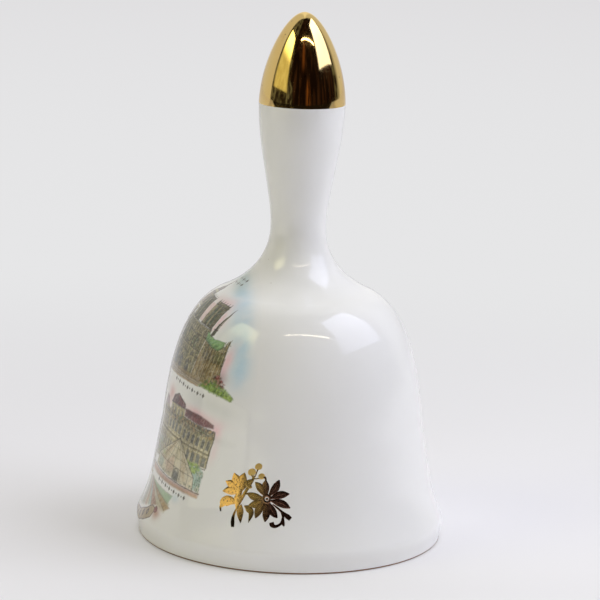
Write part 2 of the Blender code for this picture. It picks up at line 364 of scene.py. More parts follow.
def glaze_material(name, inked=False, foot=False):
    """White porcelain under clear glaze; an inked one shows the fired colours under it."""
    material, nodes, shader = new_material(name)
    cloud = nodes.noise(60.0, 2.0)
    colour = nodes.mix(nodes.ramp(cloud, 0.3, 0.7), PORCELAIN, PORCELAIN * 0.985)
    speck = nodes.make("ShaderNodeTexVoronoi", {"Scale": 300.0, "Vector": nodes.place()})
    chance = nodes.math("GREATER_THAN", nodes.noise(240.0, 0.0), 0.73)
    dot = nodes.ramp(speck.outputs["Distance"], 0.07, 0.03)
    pinhole = nodes.math("MULTIPLY", dot, chance)
    colour = nodes.mix(nodes.math("MULTIPLY", pinhole, 0.35), colour, srgb(150, 140, 120))
    if inked:
        ink = nodes.make("ShaderNodeAttribute", attribute_name="ink")
        grain = nodes.ramp(nodes.noise(2600.0, 2.0), 0.25, 0.75, 0.93, 1.0)
        cover = nodes.math("MULTIPLY", ink.outputs["Alpha"], grain)
        colour = nodes.mix(cover, colour, ink.outputs["Color"])
    roughness = 0.3
    coat = 1.0
    if foot:
        height = nodes.make("ShaderNodeSeparateXYZ", {0: nodes.place()}).outputs["Z"]
        bare = nodes.ramp(height, 0.25 * MM, 0.1 * MM)
        grit = nodes.ramp(nodes.noise(1500.0, 4.0), 0.3, 0.7)
        colour = nodes.mix(bare, colour, nodes.mix(grit, BISCUIT, BISCUIT * 0.8))
        roughness = nodes.ramp(bare, 0.0, 1.0, 0.3, 0.9)
        coat = nodes.math("SUBTRACT", 1.0, bare)
    wave = nodes.noise(48.0, 2.0)
    ripple = nodes.bump(wave, 0.12, 0.6 * MM)
    pitted = nodes.bump(pinhole, -0.25, 0.05 * MM, ripple)
    set_shader(nodes, shader, Base_Color=colour, Roughness=roughness, Coat_Weight=coat)
    set_shader(nodes, shader, Coat_Roughness=0.025, Coat_IOR=1.52, Coat_Normal=pitted)
    set_shader(nodes, shader, Specular_IOR_Level=0.2)
    return material


GOLD = (1.0, 0.74, 0.30)


def gold_material(name, roughness, streaks, wear, colour=GOLD, painted_dark_reflection=0.0, specks=0.34,
                  pits=700.0):
    """Bright gold fired on the glaze: mirror-like, with brush streaks, specks and thin spots.

    Given a share of painted dark reflection, its colour turns olive and then dark brown towards
    its right, and nearly black at its lowest left tips, painted in to stand for the dark room that
    the gold mirrors there.
    burnt dark at its lowest left tips.
    """
    material, nodes, shader = new_material(name)
    place = nodes.place()
    stretch = nodes.make("ShaderNodeMapping", {"Vector": place, "Scale": (1.0, 1.0, 0.12)})
    brushed = nodes.noise(260.0, 4.0, stretch.outputs[0])
    fine = nodes.noise(1800.0, 3.0)
    thin = nodes.ramp(nodes.noise(420.0, 5.0), 0.62, 0.74)
    gold = nodes.mix(nodes.ramp(brushed, 0.3, 0.7), colour, np.array(colour) * (1, 0.95, 0.86))
    gold = nodes.mix(nodes.math("MULTIPLY", thin, wear), gold, (0.42, 0.22, 0.07))
    # Painted dark reflection: olive, then dark brown to the right, and near black at the lowest
    # left tips.
    if painted_dark_reflection:
        across, _, height = nodes.make("ShaderNodeSeparateXYZ", {0: place}).outputs
        middle = nodes.ramp(across, -11.8 * MM, -10.6 * MM, 0.0, painted_dark_reflection)
        gold = nodes.mix(middle, gold, (0.52, 0.36, 0.12))
        right = nodes.ramp(across, -9.0 * MM, -4.0 * MM, 0.0, painted_dark_reflection)
        gold = nodes.mix(right, gold, (0.32, 0.15, 0.13))
        corner = nodes.math("ADD", height, nodes.math("MULTIPLY", across, 0.45))
        foot = nodes.ramp(corner, 7.4 * MM, 6.2 * MM, 0.0, 1.0)
        gold = nodes.mix(foot, gold, (0.045, 0.03, 0.018))
    speck = nodes.make("ShaderNodeTexVoronoi", {"Scale": pits, "Vector": place})
    sparse = nodes.math("GREATER_THAN", nodes.noise(500.0, 0.0), 1.0 - specks)
    dot = nodes.ramp(speck.outputs["Distance"], 0.6 * specks, 0.3 * specks)
    pit = nodes.math("MULTIPLY", dot, sparse)
    gold = nodes.mix(nodes.math("MULTIPLY", pit, 0.6), gold, (0.20, 0.10, 0.04))
    rough = nodes.ramp(fine, 0.2, 0.8, roughness * 0.7, roughness * 1.5)
    rough = nodes.math("ADD", rough, nodes.math("MULTIPLY", thin, 0.12 * wear))
    wavy = nodes.bump(nodes.noise(70.0, 2.0), 0.15, 0.4 * MM)
    lined = nodes.bump(brushed, streaks, 0.05 * MM, wavy)
    pitted = nodes.bump(pit, -0.3, 0.03 * MM, lined)
    set_shader(nodes, shader, Base_Color=gold, Metallic=1.0, Roughness=rough, Normal=pitted)
    return material


def brass_material():
    """Drawn brass wire, a little tarnished."""
    material, nodes, shader = new_material("drawn_brass")
    patina = nodes.ramp(nodes.noise(700.0, 5.0), 0.45, 0.7)
    colour = nodes.mix(patina, (0.74, 0.53, 0.24), (0.36, 0.24, 0.10))
    scratch = nodes.noise(5000.0, 2.0)
    rough = nodes.ramp(scratch, 0.2, 0.8, 0.18, 0.38)
    normal = nodes.bump(scratch, 0.2, 0.02 * MM)
    set_shader(nodes, shader, Base_Color=colour, Metallic=1.0, Roughness=rough, Normal=normal)
    return material


def plaster_material():
    """Poured plaster, dusty and slightly pitted."""
    material, nodes, shader = new_material("cast_plaster")
    blotch = nodes.ramp(nodes.noise(380.0, 5.0), 0.35, 0.7)
    colour = nodes.mix(blotch, srgb(222, 216, 200), srgb(190, 182, 162))
    normal = nodes.bump(nodes.noise(2400.0, 6.0, roughness=0.7), 0.5, 0.15 * MM)
    set_shader(nodes, shader, Base_Color=colour, Roughness=0.92, Normal=normal)
    return material


# --------------------------------------------------------------------------- porcelain


def bell_profile():
    """The whole section of the porcelain, from the tip inside, down, and up the outside."""
    outer, along = outline_rows(ROWS)
    inset = outer + WALL * np.stack([-along[:, 1], along[:, 0]], 1)
    inside = inset[ROWS[0] :: 3]
    inside = inside[inside[:, 0] > 0.25]
    tip = np.array([(0.0, HEIGHT - WALL)])
    lip_r, lip_z = INNER_LIP
    first_r, first_z = OUTLINE_KNOTS[0][:2]
    arc = np.linspace(0.0, math.pi / 2, 7)
    inner_turn = [
        (FOOT_INNER - (FOOT_INNER - lip_r) * math.cos(a), lip_z * (1 - math.sin(a))) for a in arc
    ]
    outer_turn = [
        (FOOT_OUTER + (first_r - FOOT_OUTER) * math.sin(a), first_z * (1 - math.cos(a)))
        for a in arc[:-1]
    ]
    rise = np.linspace(inside[0][1], lip_z, 6)[1:-1]
    wall_radius = np.linspace(inside[0][0], lip_r, 6)[1:-1]
    straight = np.stack([wall_radius, rise], 1)
    return np.concatenate([tip, inside[::-1], straight, inner_turn, outer_turn, outer])


def finial_profile():
    """A fired layer over the top of the handle, closed at the tip."""
    r, z, nr, nz = outline_at(np.linspace(reach_at(GILT_LINE), table_reach[-1], FINIAL_ROWS))
    inner, outer = (
        np.stack([r + nr * lift, z + nz * lift], 1)
        for lift in (FINIAL_LIFT, FINIAL_LIFT + FINIAL_THICKNESS)
    )
    outer[-1][0] = inner[-1][0] = 0.0
    return np.concatenate([inner[::-1], outer])


def build_porcelain():
    body = lathe("porcelain_bell", bell_profile(), glaze_material("glazed_porcelain", foot=True))
    fit_piece(body, "bell", "bell_body")

    gold = gold_material("mirror_gold", 0.07, 0.10, 0.15)
    finial = lathe("gilt_finial", finial_profile(), gold)
    fit_piece(finial, "bell", "finial_gilding")

    # Painted shade: the rim's gold is dark brown, a worn gilt line darkened to stand for the
    # contact shadow along the foot.
    shaded_rim_gold = gold_material("shaded_rim_gold", 0.3, 0.3, 0.8, (0.36, 0.22, 0.13))
    wide, tall = OUTLINE_KNOTS[0][0] - FOOT_OUTER, OUTLINE_KNOTS[0][1]
    turn = np.radians(np.linspace(*RIM_GILT, 7))
    outer, inner = (
        np.stack(
            [FOOT_OUTER + (wide + lift) * np.sin(turn), tall - (tall + lift) * np.cos(turn)], 1
        )
        for lift in RIM_LIFTS
    )
    rim = lathe("gilt_rim", np.concatenate([outer, inner[::-1]]), shaded_rim_gold, ring=True)
    fit_piece(rim, "bell", "rim_gilding")


# --------------------------------------------------------------------------- chain


def joint_height(name):
    joint = next(j for j in frame["joints"] if j["name"] == name)
    return joint["pos_m"][2] / MM


LINKS = sorted(b for b in frame["bodies"] if b.startswith("link_"))
WIRE = 0.55
EYE = 1.9
WIRE_REST = 1.25
LINK_HALF = 1.7
SEAM = 0.10  # the open butt joint in a bent link
EYE_BEND = (35.0, 338.0)  # degrees from the shank at which the eye starts and ends
BORE = 0.9  # of the plug and the ball
PLUG_GAP = 0.3
PLUG_AROUND = BALL_AROUND = 96
WASHER_BORE = 0.85
WASHER_RIM = 2.2
WASHER_THICK = 0.4
WASHER_EASE = 0.08  # radius of its rounded edges
WASHER_GAP = 0.15  # between a washer and the peened head
WASHER_AROUND = 64


def crossed(points, turned):
    """(x, z) points in the XZ plane, or in the YZ plane if turned."""
    points = np.asarray(points, float)
    flat = np.zeros(len(points))
    columns = (flat, points[:, 0], points[:, 1]) if turned else (points[:, 0], flat, points[:, 1])
    return np.stack(columns, 1)


def link_shape(top, pitch, turned):
    """An oval link cut and butted half way down one side."""
    high = top + WIRE_REST - LINK_HALF
    low = top - pitch + LINK_HALF
    middle = (high + low) / 2
    arc = np.linspace(0.0, math.pi, 22)
    points = [(LINK_HALF, z) for z in np.linspace(middle + SEAM / 2, high, 5)[:-1]]
    points += [(LINK_HALF * math.cos(a), high + LINK_HALF * math.sin(a)) for a in arc]
    points += [(-LINK_HALF, z) for z in np.linspace(high, low, 8)[1:-1]]
    points += [(-LINK_HALF * math.cos(a), low - LINK_HALF * math.sin(a)) for a in arc]
    points += [(LINK_HALF, z) for z in np.linspace(low, middle - SEAM / 2, 5)[1:]]
    ends = np.full(len(points), WIRE)
    ends[[0, -1]] = WIRE * 0.93
    return tube(crossed(points, turned), ends)


def eye_wire(centre, shank, turned, down):
    """A wire with an eye, a shank of that length and a peened head at its end."""
    angles = np.linspace(*map(math.radians, EYE_BEND), 48)
    loop = [(EYE * math.sin(a), EYE * math.cos(a)) for a in angles]
    top, join = EYE + 0.9, loop[0]
    bend = []
    for t in np.linspace(0.0, 0.9, 10):
        s = 1.0 - t
        x = t * t * join[0]
        z = s * s * top + 2 * s * t * (top + join[1]) / 2 + t * t * join[1]
        bend.append((x, z))
    head = [(0.0, shank + h) for h in (0.8, 0.78, 0.7, 0.5, 0.25, 0.08, 0.0, -0.05)]
    head_radii = [0.2, 0.6, 1.0, 1.28, 1.3, 1.2, 0.7, WIRE]
    straight = [(0.0, z) for z in np.linspace(shank - 0.4, top + 0.3, 20)]
    points = np.array(head + straight + bend + loop)
    radii = np.array(head_radii + [WIRE] * (len(points) - len(head)))
    radii[-1] = WIRE * 0.9
    if down:
        points[:, 1] *= -1
    points[:, 1] += centre
    return tube(crossed(points, turned), radii)


def washer_profile(low):
    high, ease = low + WASHER_THICK, WASHER_EASE
    corners = ((WASHER_BORE, low), (WASHER_RIM, low), (WASHER_RIM, high), (WASHER_BORE, high))
    turns = ((1, 1), (-1, 1), (-1, -1), (1, -1))
    starts = (math.pi, -math.pi / 2, 0.0, math.pi / 2)
    profile = []
    for (r, z), (dr, dz), start in zip(corners, turns, starts):
        for a in np.linspace(start, start + math.pi / 2, 4):
            point = (r + dr * ease + ease * math.cos(a), z + dz * ease + ease * math.sin(a))
            profile.append(point)
    return profile


def ball_profile(centre, radius, bore, ease=0.35):
    """A bored ball; the mouths of the bore are eased."""
    first = math.asin((bore + ease) / radius)
    sphere = [
        (radius * math.sin(a), centre - radius * math.cos(a))
        for a in np.linspace(first, math.pi - first, 44)
    ]
    flat = radius * math.cos(first)
    low, high = centre - flat, centre + flat
    mouth = [(1.0, 0.0), (0.55, 0.1), (0.2, 0.45), (0.0, 1.0)]
    into = [(bore + ease * a, high - ease * b) for a, b in mouth]
    out = [(bore + ease * a, low + ease * b) for a, b in mouth[::-1]]
    return sphere + into[1:] + out[:-1]


def plug_profile():
    low, high = (c.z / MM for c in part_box("throat_plug"))
    reach = np.linspace(reach_at(60.0), reach_at(90.0), 120)
    r, z, nr, nz = outline_at(reach)
    inset = WALL + PLUG_GAP
    wall_r, wall_z = r - nr * inset, z - nz * inset
    heights = np.linspace(low + 0.3, high - 0.2, 16)
    side = [(float(np.interp(h, wall_z, wall_r)), h) for h in heights]
    outer = side[0][0]
    under = [(BORE, low + 0.35), (2.2, low + 0.1), (outer * 0.6, low), (outer - 0.4, low + 0.05)]
    over = [(side[-1][0] - 0.3, high), (BORE, high)]
    return under + side + over


def build_clapper():
    brass = brass_material()
    white = glaze_material("clapper_glaze")

    def wire_piece(name, shape, body, node):
        verts, faces = shape
        obj = make_object(name, np.asarray(verts) * MM, faces, brass)
        fit_piece(obj, body, node)

    def washer_piece(name, low, body, node):
        washer = lathe(name, washer_profile(low), brass, WASHER_AROUND, ring=True)
        fit_piece(washer, body, node)

    plug = lathe("plaster_plug", plug_profile(), plaster_material(), PLUG_AROUND, ring=True)
    fit_piece(plug, "bell", "throat_plug")

    pin_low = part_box("pin_washer")[0].z / MM
    washer_piece("upper_washer", pin_low, "bell", "pin_washer")

    first = joint_height("link_1_swing")
    eye_centre = first + EYE
    shank = pin_low + WASHER_THICK + WASHER_GAP - eye_centre
    shape = eye_wire(eye_centre, shank, False, False)
    wire_piece("hanging_eye", shape, "bell", "eye_pin")

    last = joint_height("clapper_swing")
    pitch = (first - last) / len(LINKS)
    for number, body in enumerate(LINKS):
        shape = link_shape(first - number * pitch, pitch, number % 2 == 0)
        wire_piece(f"oval_link_{number + 1}", shape, body, f"chain_link_{number + 1}")

    stop_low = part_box("stop_washer")[0].z / MM
    centre = last + WIRE_REST - EYE
    shank = centre - (stop_low - WASHER_GAP)
    shape = eye_wire(centre, shank, len(LINKS) % 2 == 0, True)
    wire_piece("ball_wire", shape, "clapper", "clapper_wire")
    washer_piece("lower_washer", stop_low, "clapper", "stop_washer")

    low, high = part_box("clapper_ball")
    radius = (high.x - low.x) / 2 / MM
    profile = ball_profile((low.z + high.z) / 2 / MM, radius, BORE)
    ball = lathe("porcelain_ball", profile, white, BALL_AROUND, ring=True)
    fit_piece(ball, "ball", "clapper_ball")


# --------------------------------------------------------------------------- print

PIXEL = 0.17  # millimetres between the points of the printed film
PRINT_AZIMUTH = (-151.0, -17.0)
PRINT_REACH = (2.6, 77.5)
PRINT_MIDDLE = -84.0
FILM_FRONT = 0.03
FILM_BACK = 0.01
LEAST_COVER = 0.02
MIDDLE_TONE = np.array((0.74, 0.72, 0.56))


def mottle(x, y, scale, seed):
    """Smooth noise between 0 and 1."""
    side = 64
    grid = np.random.default_rng(seed).random((side, side))
    u, v = x / scale, y / scale
    i, j = np.floor(u).astype(int), np.floor(v).astype(int)
    fu, fv = u - i, v - j
    fu, fv = fu * fu * (3 - 2 * fu), fv * fv * (3 - 2 * fv)
    i0, i1, j0, j1 = i % side, (i + 1) % side, j % side, (j + 1) % side
    low = grid[i0, j0] * (1 - fu) + grid[i1, j0] * fu
    high = grid[i0, j1] * (1 - fu) + grid[i1, j1] * fu
    return low * (1 - fv) + high * fv


class Sheet:
    """The wet transfer: ink laid on a grid of azimuth and reach."""

    def __init__(self):
        turn = math.degrees(PIXEL / OUTLINE_KNOTS[2][0])
        across = np.arange(*PRINT_AZIMUTH, turn)
        up = np.arange(*PRINT_REACH, PIXEL)
        self.azimuth, self.reach = np.meshgrid(across, up)
        self.radius = outline_at(self.reach)[0]
        self.ink = np.zeros(self.azimuth.shape + (3,))
        self.cover = np.zeros(self.azimuth.shape)

    def engrave(self):
        """Breaks the dense colours into fine marks, and deepens them towards the middle."""
        across = np.radians(self.azimuth - PRINT_AZIMUTH[0]) * self.radius
        marks = 0.6 * mottle(across, self.reach, 0.36, 211) + 0.4 * mottle(
            across, self.reach, 0.9, 223
        )
        dense = np.clip((self.cover - 0.85) / 0.1, 0, 1)
        dark = 0.24 * dense * np.clip((0.5 - marks) / 0.16, 0, 1)
        pale = 0.12 * dense * np.clip((marks - 0.58) / 0.14, 0, 1)
        paper = (PORCELAIN * 0.85) * self.cover[..., None]
        edge = np.clip((np.abs(self.azimuth - PRINT_MIDDLE) - 8.0) / 36.0, 0, 1)[..., None]
        self.ink *= (1 - dark[..., None]) * (MIDDLE_TONE + (1.0 - MIDDLE_TONE) * edge)
        self.ink += (paper - self.ink) * pale[..., None]


class Vignette:
    """Part of the sheet with its own x to the right and y up, in millimetres."""

    def __init__(self, sheet, azimuth, reach, tilt, size, seed, wobble=0.16):
        dx = np.radians(sheet.azimuth - azimuth) * sheet.radius
        dy = sheet.reach - reach
        c, s = math.cos(math.radians(tilt)), math.sin(math.radians(tilt))
        x, y = dx * c - dy * s, dx * s + dy * c
        self.sheet = sheet
        self.at = np.nonzero(np.hypot(x, y) < size)
        x, y = x[self.at], y[self.at]
        self.x = x + wobble * (mottle(x, y, 1.1, seed) - 0.5)
        self.y = y + wobble * (mottle(x, y, 1.1, seed + 1) - 0.5)
        self.grain = mottle(x, y, 0.42, seed + 2) - 0.5
        self.cloud = mottle(x, y, 2.4, seed + 3) - 0.5
        self.random = np.random.default_rng(seed)

    def near(self, points, margin):
        low, high = np.min(points, 0) - margin, np.max(points, 0) + margin
        inside = (self.x > low[0]) & (self.x < high[0]) & (self.y > low[1]) & (self.y < high[1])
        return np.nonzero(inside)[0]

    def lay(self, pick, tone, cover, rough):
        """Lays an ink, named as in INK, over the picked points."""
        shade = 1.0 + rough * (self.grain[pick] + 0.7 * self.cloud[pick])
        ink = np.clip(INK[tone] * shade[:, None], 0.0, 1.0)
        rows, cols = self.at[0][pick], self.at[1][pick]
        sheet, a = self.sheet, cover[:, None]
        sheet.ink[rows, cols] = ink * a + sheet.ink[rows, cols] * (1 - a)
        sheet.cover[rows, cols] = cover + sheet.cover[rows, cols] * (1 - cover)

    def area(self, points, tone, cover=1.0, soft=0.18, rough=0.35):
        points = np.asarray(points, float)
        pick = self.near(points, soft)
        x, y = self.x[pick], self.y[pick]
        gap, inside = np.full(len(pick), 1e9), np.zeros(len(pick), bool)
        for (x0, y0), (x1, y1) in zip(points, np.roll(points, -1, 0)):
            ex, ey = x1 - x0, y1 - y0
            t = np.clip(((x - x0) * ex + (y - y0) * ey) / (ex * ex + ey * ey + 1e-12), 0, 1)
            gap = np.minimum(gap, np.hypot(x - x0 - t * ex, y - y0 - t * ey))
            crosses = (y0 > y) != (y1 > y)
            inside ^= crosses & (x < ex * (y - y0) / (ey if ey else 1e-9) + x0)
        gap = np.where(inside, -gap, gap)
        self.lay(pick, tone, np.clip(0.5 - gap / soft, 0, 1) * cover, rough)

    def line(self, points, width, tone, cover=1.0, soft=0.14, rough=0.5):
        points = np.asarray(points, float)
        widths = np.broadcast_to(width, len(points))
        pick = self.near(points, max(widths) + soft)
        x, y = self.x[pick], self.y[pick]
        gap = np.full(len(pick), 1e9)
        for k, ((x0, y0), (x1, y1)) in enumerate(zip(points, points[1:])):
            ex, ey = x1 - x0, y1 - y0
            t = np.clip(((x - x0) * ex + (y - y0) * ey) / (ex * ex + ey * ey + 1e-12), 0, 1)
            half = (widths[k] * (1 - t) + widths[k + 1] * t) / 2
            gap = np.minimum(gap, np.hypot(x - x0 - t * ex, y - y0 - t * ey) - half)
        broken = np.clip(1.0 + 0.9 * self.grain[pick], 0.0, 1.0)
        self.lay(pick, tone, np.clip(0.5 - gap / soft, 0, 1) * cover * broken, rough)

    def ring(self, centre, radius, width, tone, cover=1.0):
        a = np.linspace(0, math.tau, 25)
        points = np.stack([centre[0] + radius * np.cos(a), centre[1] + radius * np.sin(a)], 1)
        self.line(points, width, tone, cover)

    def blot(self, centre, radii, tone, cover, power=2.0):
        pick = self.near([centre], np.array(radii) * 2.2)
        u = (self.x[pick] - centre[0]) / radii[0]
        v = (self.y[pick] - centre[1]) / radii[1]
        fall = np.exp(-((u * u + v * v) ** (power / 2)))
        self.lay(pick, tone, fall * cover * (1 + 0.5 * self.cloud[pick]), 0.1)

    def spots(self, points, count):
        """Random places inside a polygon."""
        points = np.asarray(points, float)
        low, high = points.min(0), points.max(0)
        for _ in range(count):
            spot = low + (high - low) * self.random.random(2)
            if inside_polygon(spot, points):
                yield spot

    def tuft(self, points, size, tones, count, cover=0.9):
        """Leaves or flowers dabbed at random inside a polygon."""
        for spot in self.spots(points, count):
            radii = size * (0.5 + self.random.random(2))
            tone = tones[self.random.integers(len(tones))]
            self.blot(spot, radii, tone, cover, 3.0)

    def strokes(self, points, count, length, width, tones, cover, upright=0.5):
        """Short pen strokes at random inside a polygon; upright is the share that stand."""
        for spot in self.spots(points, count):
            reach = length * (0.4 + 0.8 * self.random.random()) / 2
            lean = 0.25 * (self.random.random() - 0.5)
            way = np.array((lean, 1.0) if self.random.random() < upright else (1.0, lean))
            tone = tones[self.random.integers(len(tones))]
            self.line([spot - way * reach, spot + way * reach], width, tone, cover)


def inside_polygon(spot, points):
    x, y = spot
    inside = False
    for (x0, y0), (x1, y1) in zip(points, np.roll(points, -1, 0)):
        if (y0 > y) != (y1 > y) and x < (x1 - x0) * (y - y0) / (y1 - y0) + x0:
            inside = not inside
    return inside


INK = {
    "line": srgb(59, 52, 33),
    "soft_line": srgb(99, 88, 57),
    "stone": srgb(136, 129, 93),
    "stone_light": srgb(183, 174, 135),
    "stone_dark": srgb(89, 84, 57),
    "sand": srgb(148, 127, 83),
    "sand_dark": srgb(101, 81, 44),
    "cream": srgb(192, 181, 144),
    "wall": srgb(180, 169, 124),
    "pale": srgb(221, 213, 188),
    "shade": srgb(78, 81, 78),
    "slate": srgb(108, 112, 107),
    "moss": srgb(96, 110, 62),
    "copper": srgb(124, 166, 110),
    "copper_dark": srgb(66, 94, 59),
    "grass": srgb(133, 166, 66),
    "grass_light": srgb(172, 194, 97),
    "leaf": srgb(74, 113, 55),
    "red": srgb(139, 53, 50),
    "maroon": srgb(98, 30, 32),
    "maroon_dark": srgb(73, 41, 33),
    "pink": srgb(238, 188, 196),
    "salmon": srgb(194, 146, 122),
    "sky": srgb(168, 207, 229),
    "teal": srgb(143, 174, 160),
    "tan": srgb(178, 148, 98),
    "brown": srgb(96, 66, 46),
}


def box_points(x0, y0, x1, y1):
    return [(x0, y0), (x1, y0), (x1, y1), (x0, y1)]


def disc_points(x, y, radius):
    turns = np.linspace(0, math.tau, 16)[:-1]
    return [(x + radius * math.cos(a), y + radius * math.sin(a)) for a in turns]


def lancet(v, x, y, width, height, tone, cover=0.9):
    """A pointed opening standing on y."""
    half = width / 2
    top = y + height
    points = [(x - half, y), (x + half, y), (x + half, top - half), (x, top),
              (x - half, top - half)]
    v.area(points, tone, cover, 0.16)


def windows(v, x0, x1, y, count, width, height, tone, cover=0.85):
    """A row of arched windows between two ends, each with a pale reveal and a dark lintel."""
    for x in np.linspace(x0, x1, 2 * count + 1)[1::2]:
        lancet(v, x - 0.08, y - 0.15, width + 0.5, height + 0.45, "pale", 0.55)
        lancet(v, x, y, width, height, tone, cover)
        v.line([(x - width / 2 - 0.12, y + height * 0.75), (x, y + height + 0.2),
                (x + width / 2 + 0.12, y + height * 0.75)], 0.16, "line", 0.6)
        v.line([(x + width / 2, y - 0.1), (x + width / 2, y + height * 0.7)], 0.14, "line", 0.55)


def tower(v, x0, x1, base, top, lean):
    """A square bell tower with two tall louvred openings."""
    def at(across, up):
        return (x0 + (x1 - x0) * across + lean * up, base + (top - base) * up)

    v.area([at(0, 0), at(1, 0), at(1, 1), at(0, 1)], "stone")
    v.area([at(0.8, 0), at(1, 0), at(1, 1), at(0.8, 1)], "stone_dark", 0.7)
    v.area([at(0, 0), at(0.16, 0), at(0.16, 1), at(0, 1)], "stone_light", 0.8)
    v.tuft([at(0, 0), at(1, 0), at(1, 1), at(0, 1)], 0.4, ("line", "stone_dark", "moss"), 60, 0.5)
    for middle in (0.33, 0.66):
        v.line([at(middle, 0.1), at(middle, 0.84)], 1.2, "line", 0.85)
        v.line([at(middle + 0.04, 0.12), at(middle + 0.04, 0.7)], 0.55, "copper_dark", 0.9)
        v.line([at(middle - 0.1, 0.1), at(middle - 0.1, 0.8)], 0.16, "stone_light", 0.7)
    for up in (0.02, 0.87, 1.0):
        v.line([at(-0.03, up), at(1.03, up)], 0.3, "line", 0.8)
    v.line([at(0, 0.93), at(1, 0.93)], 0.25, "maroon_dark", 0.5)
    for across in np.linspace(0, 1, 6):
        v.line([at(across, 1.0), at(across, 1.1)], 0.26, "line", 0.8)
    v.line([at(0, 0), at(0, 1)], 0.22, "line", 0.8)
    v.line([at(1, 0), at(1, 1)], 0.28, "line", 0.9)
    v.line([at(0.5, 0), at(0.5, 0.9)], 0.2, "stone_light", 0.8)


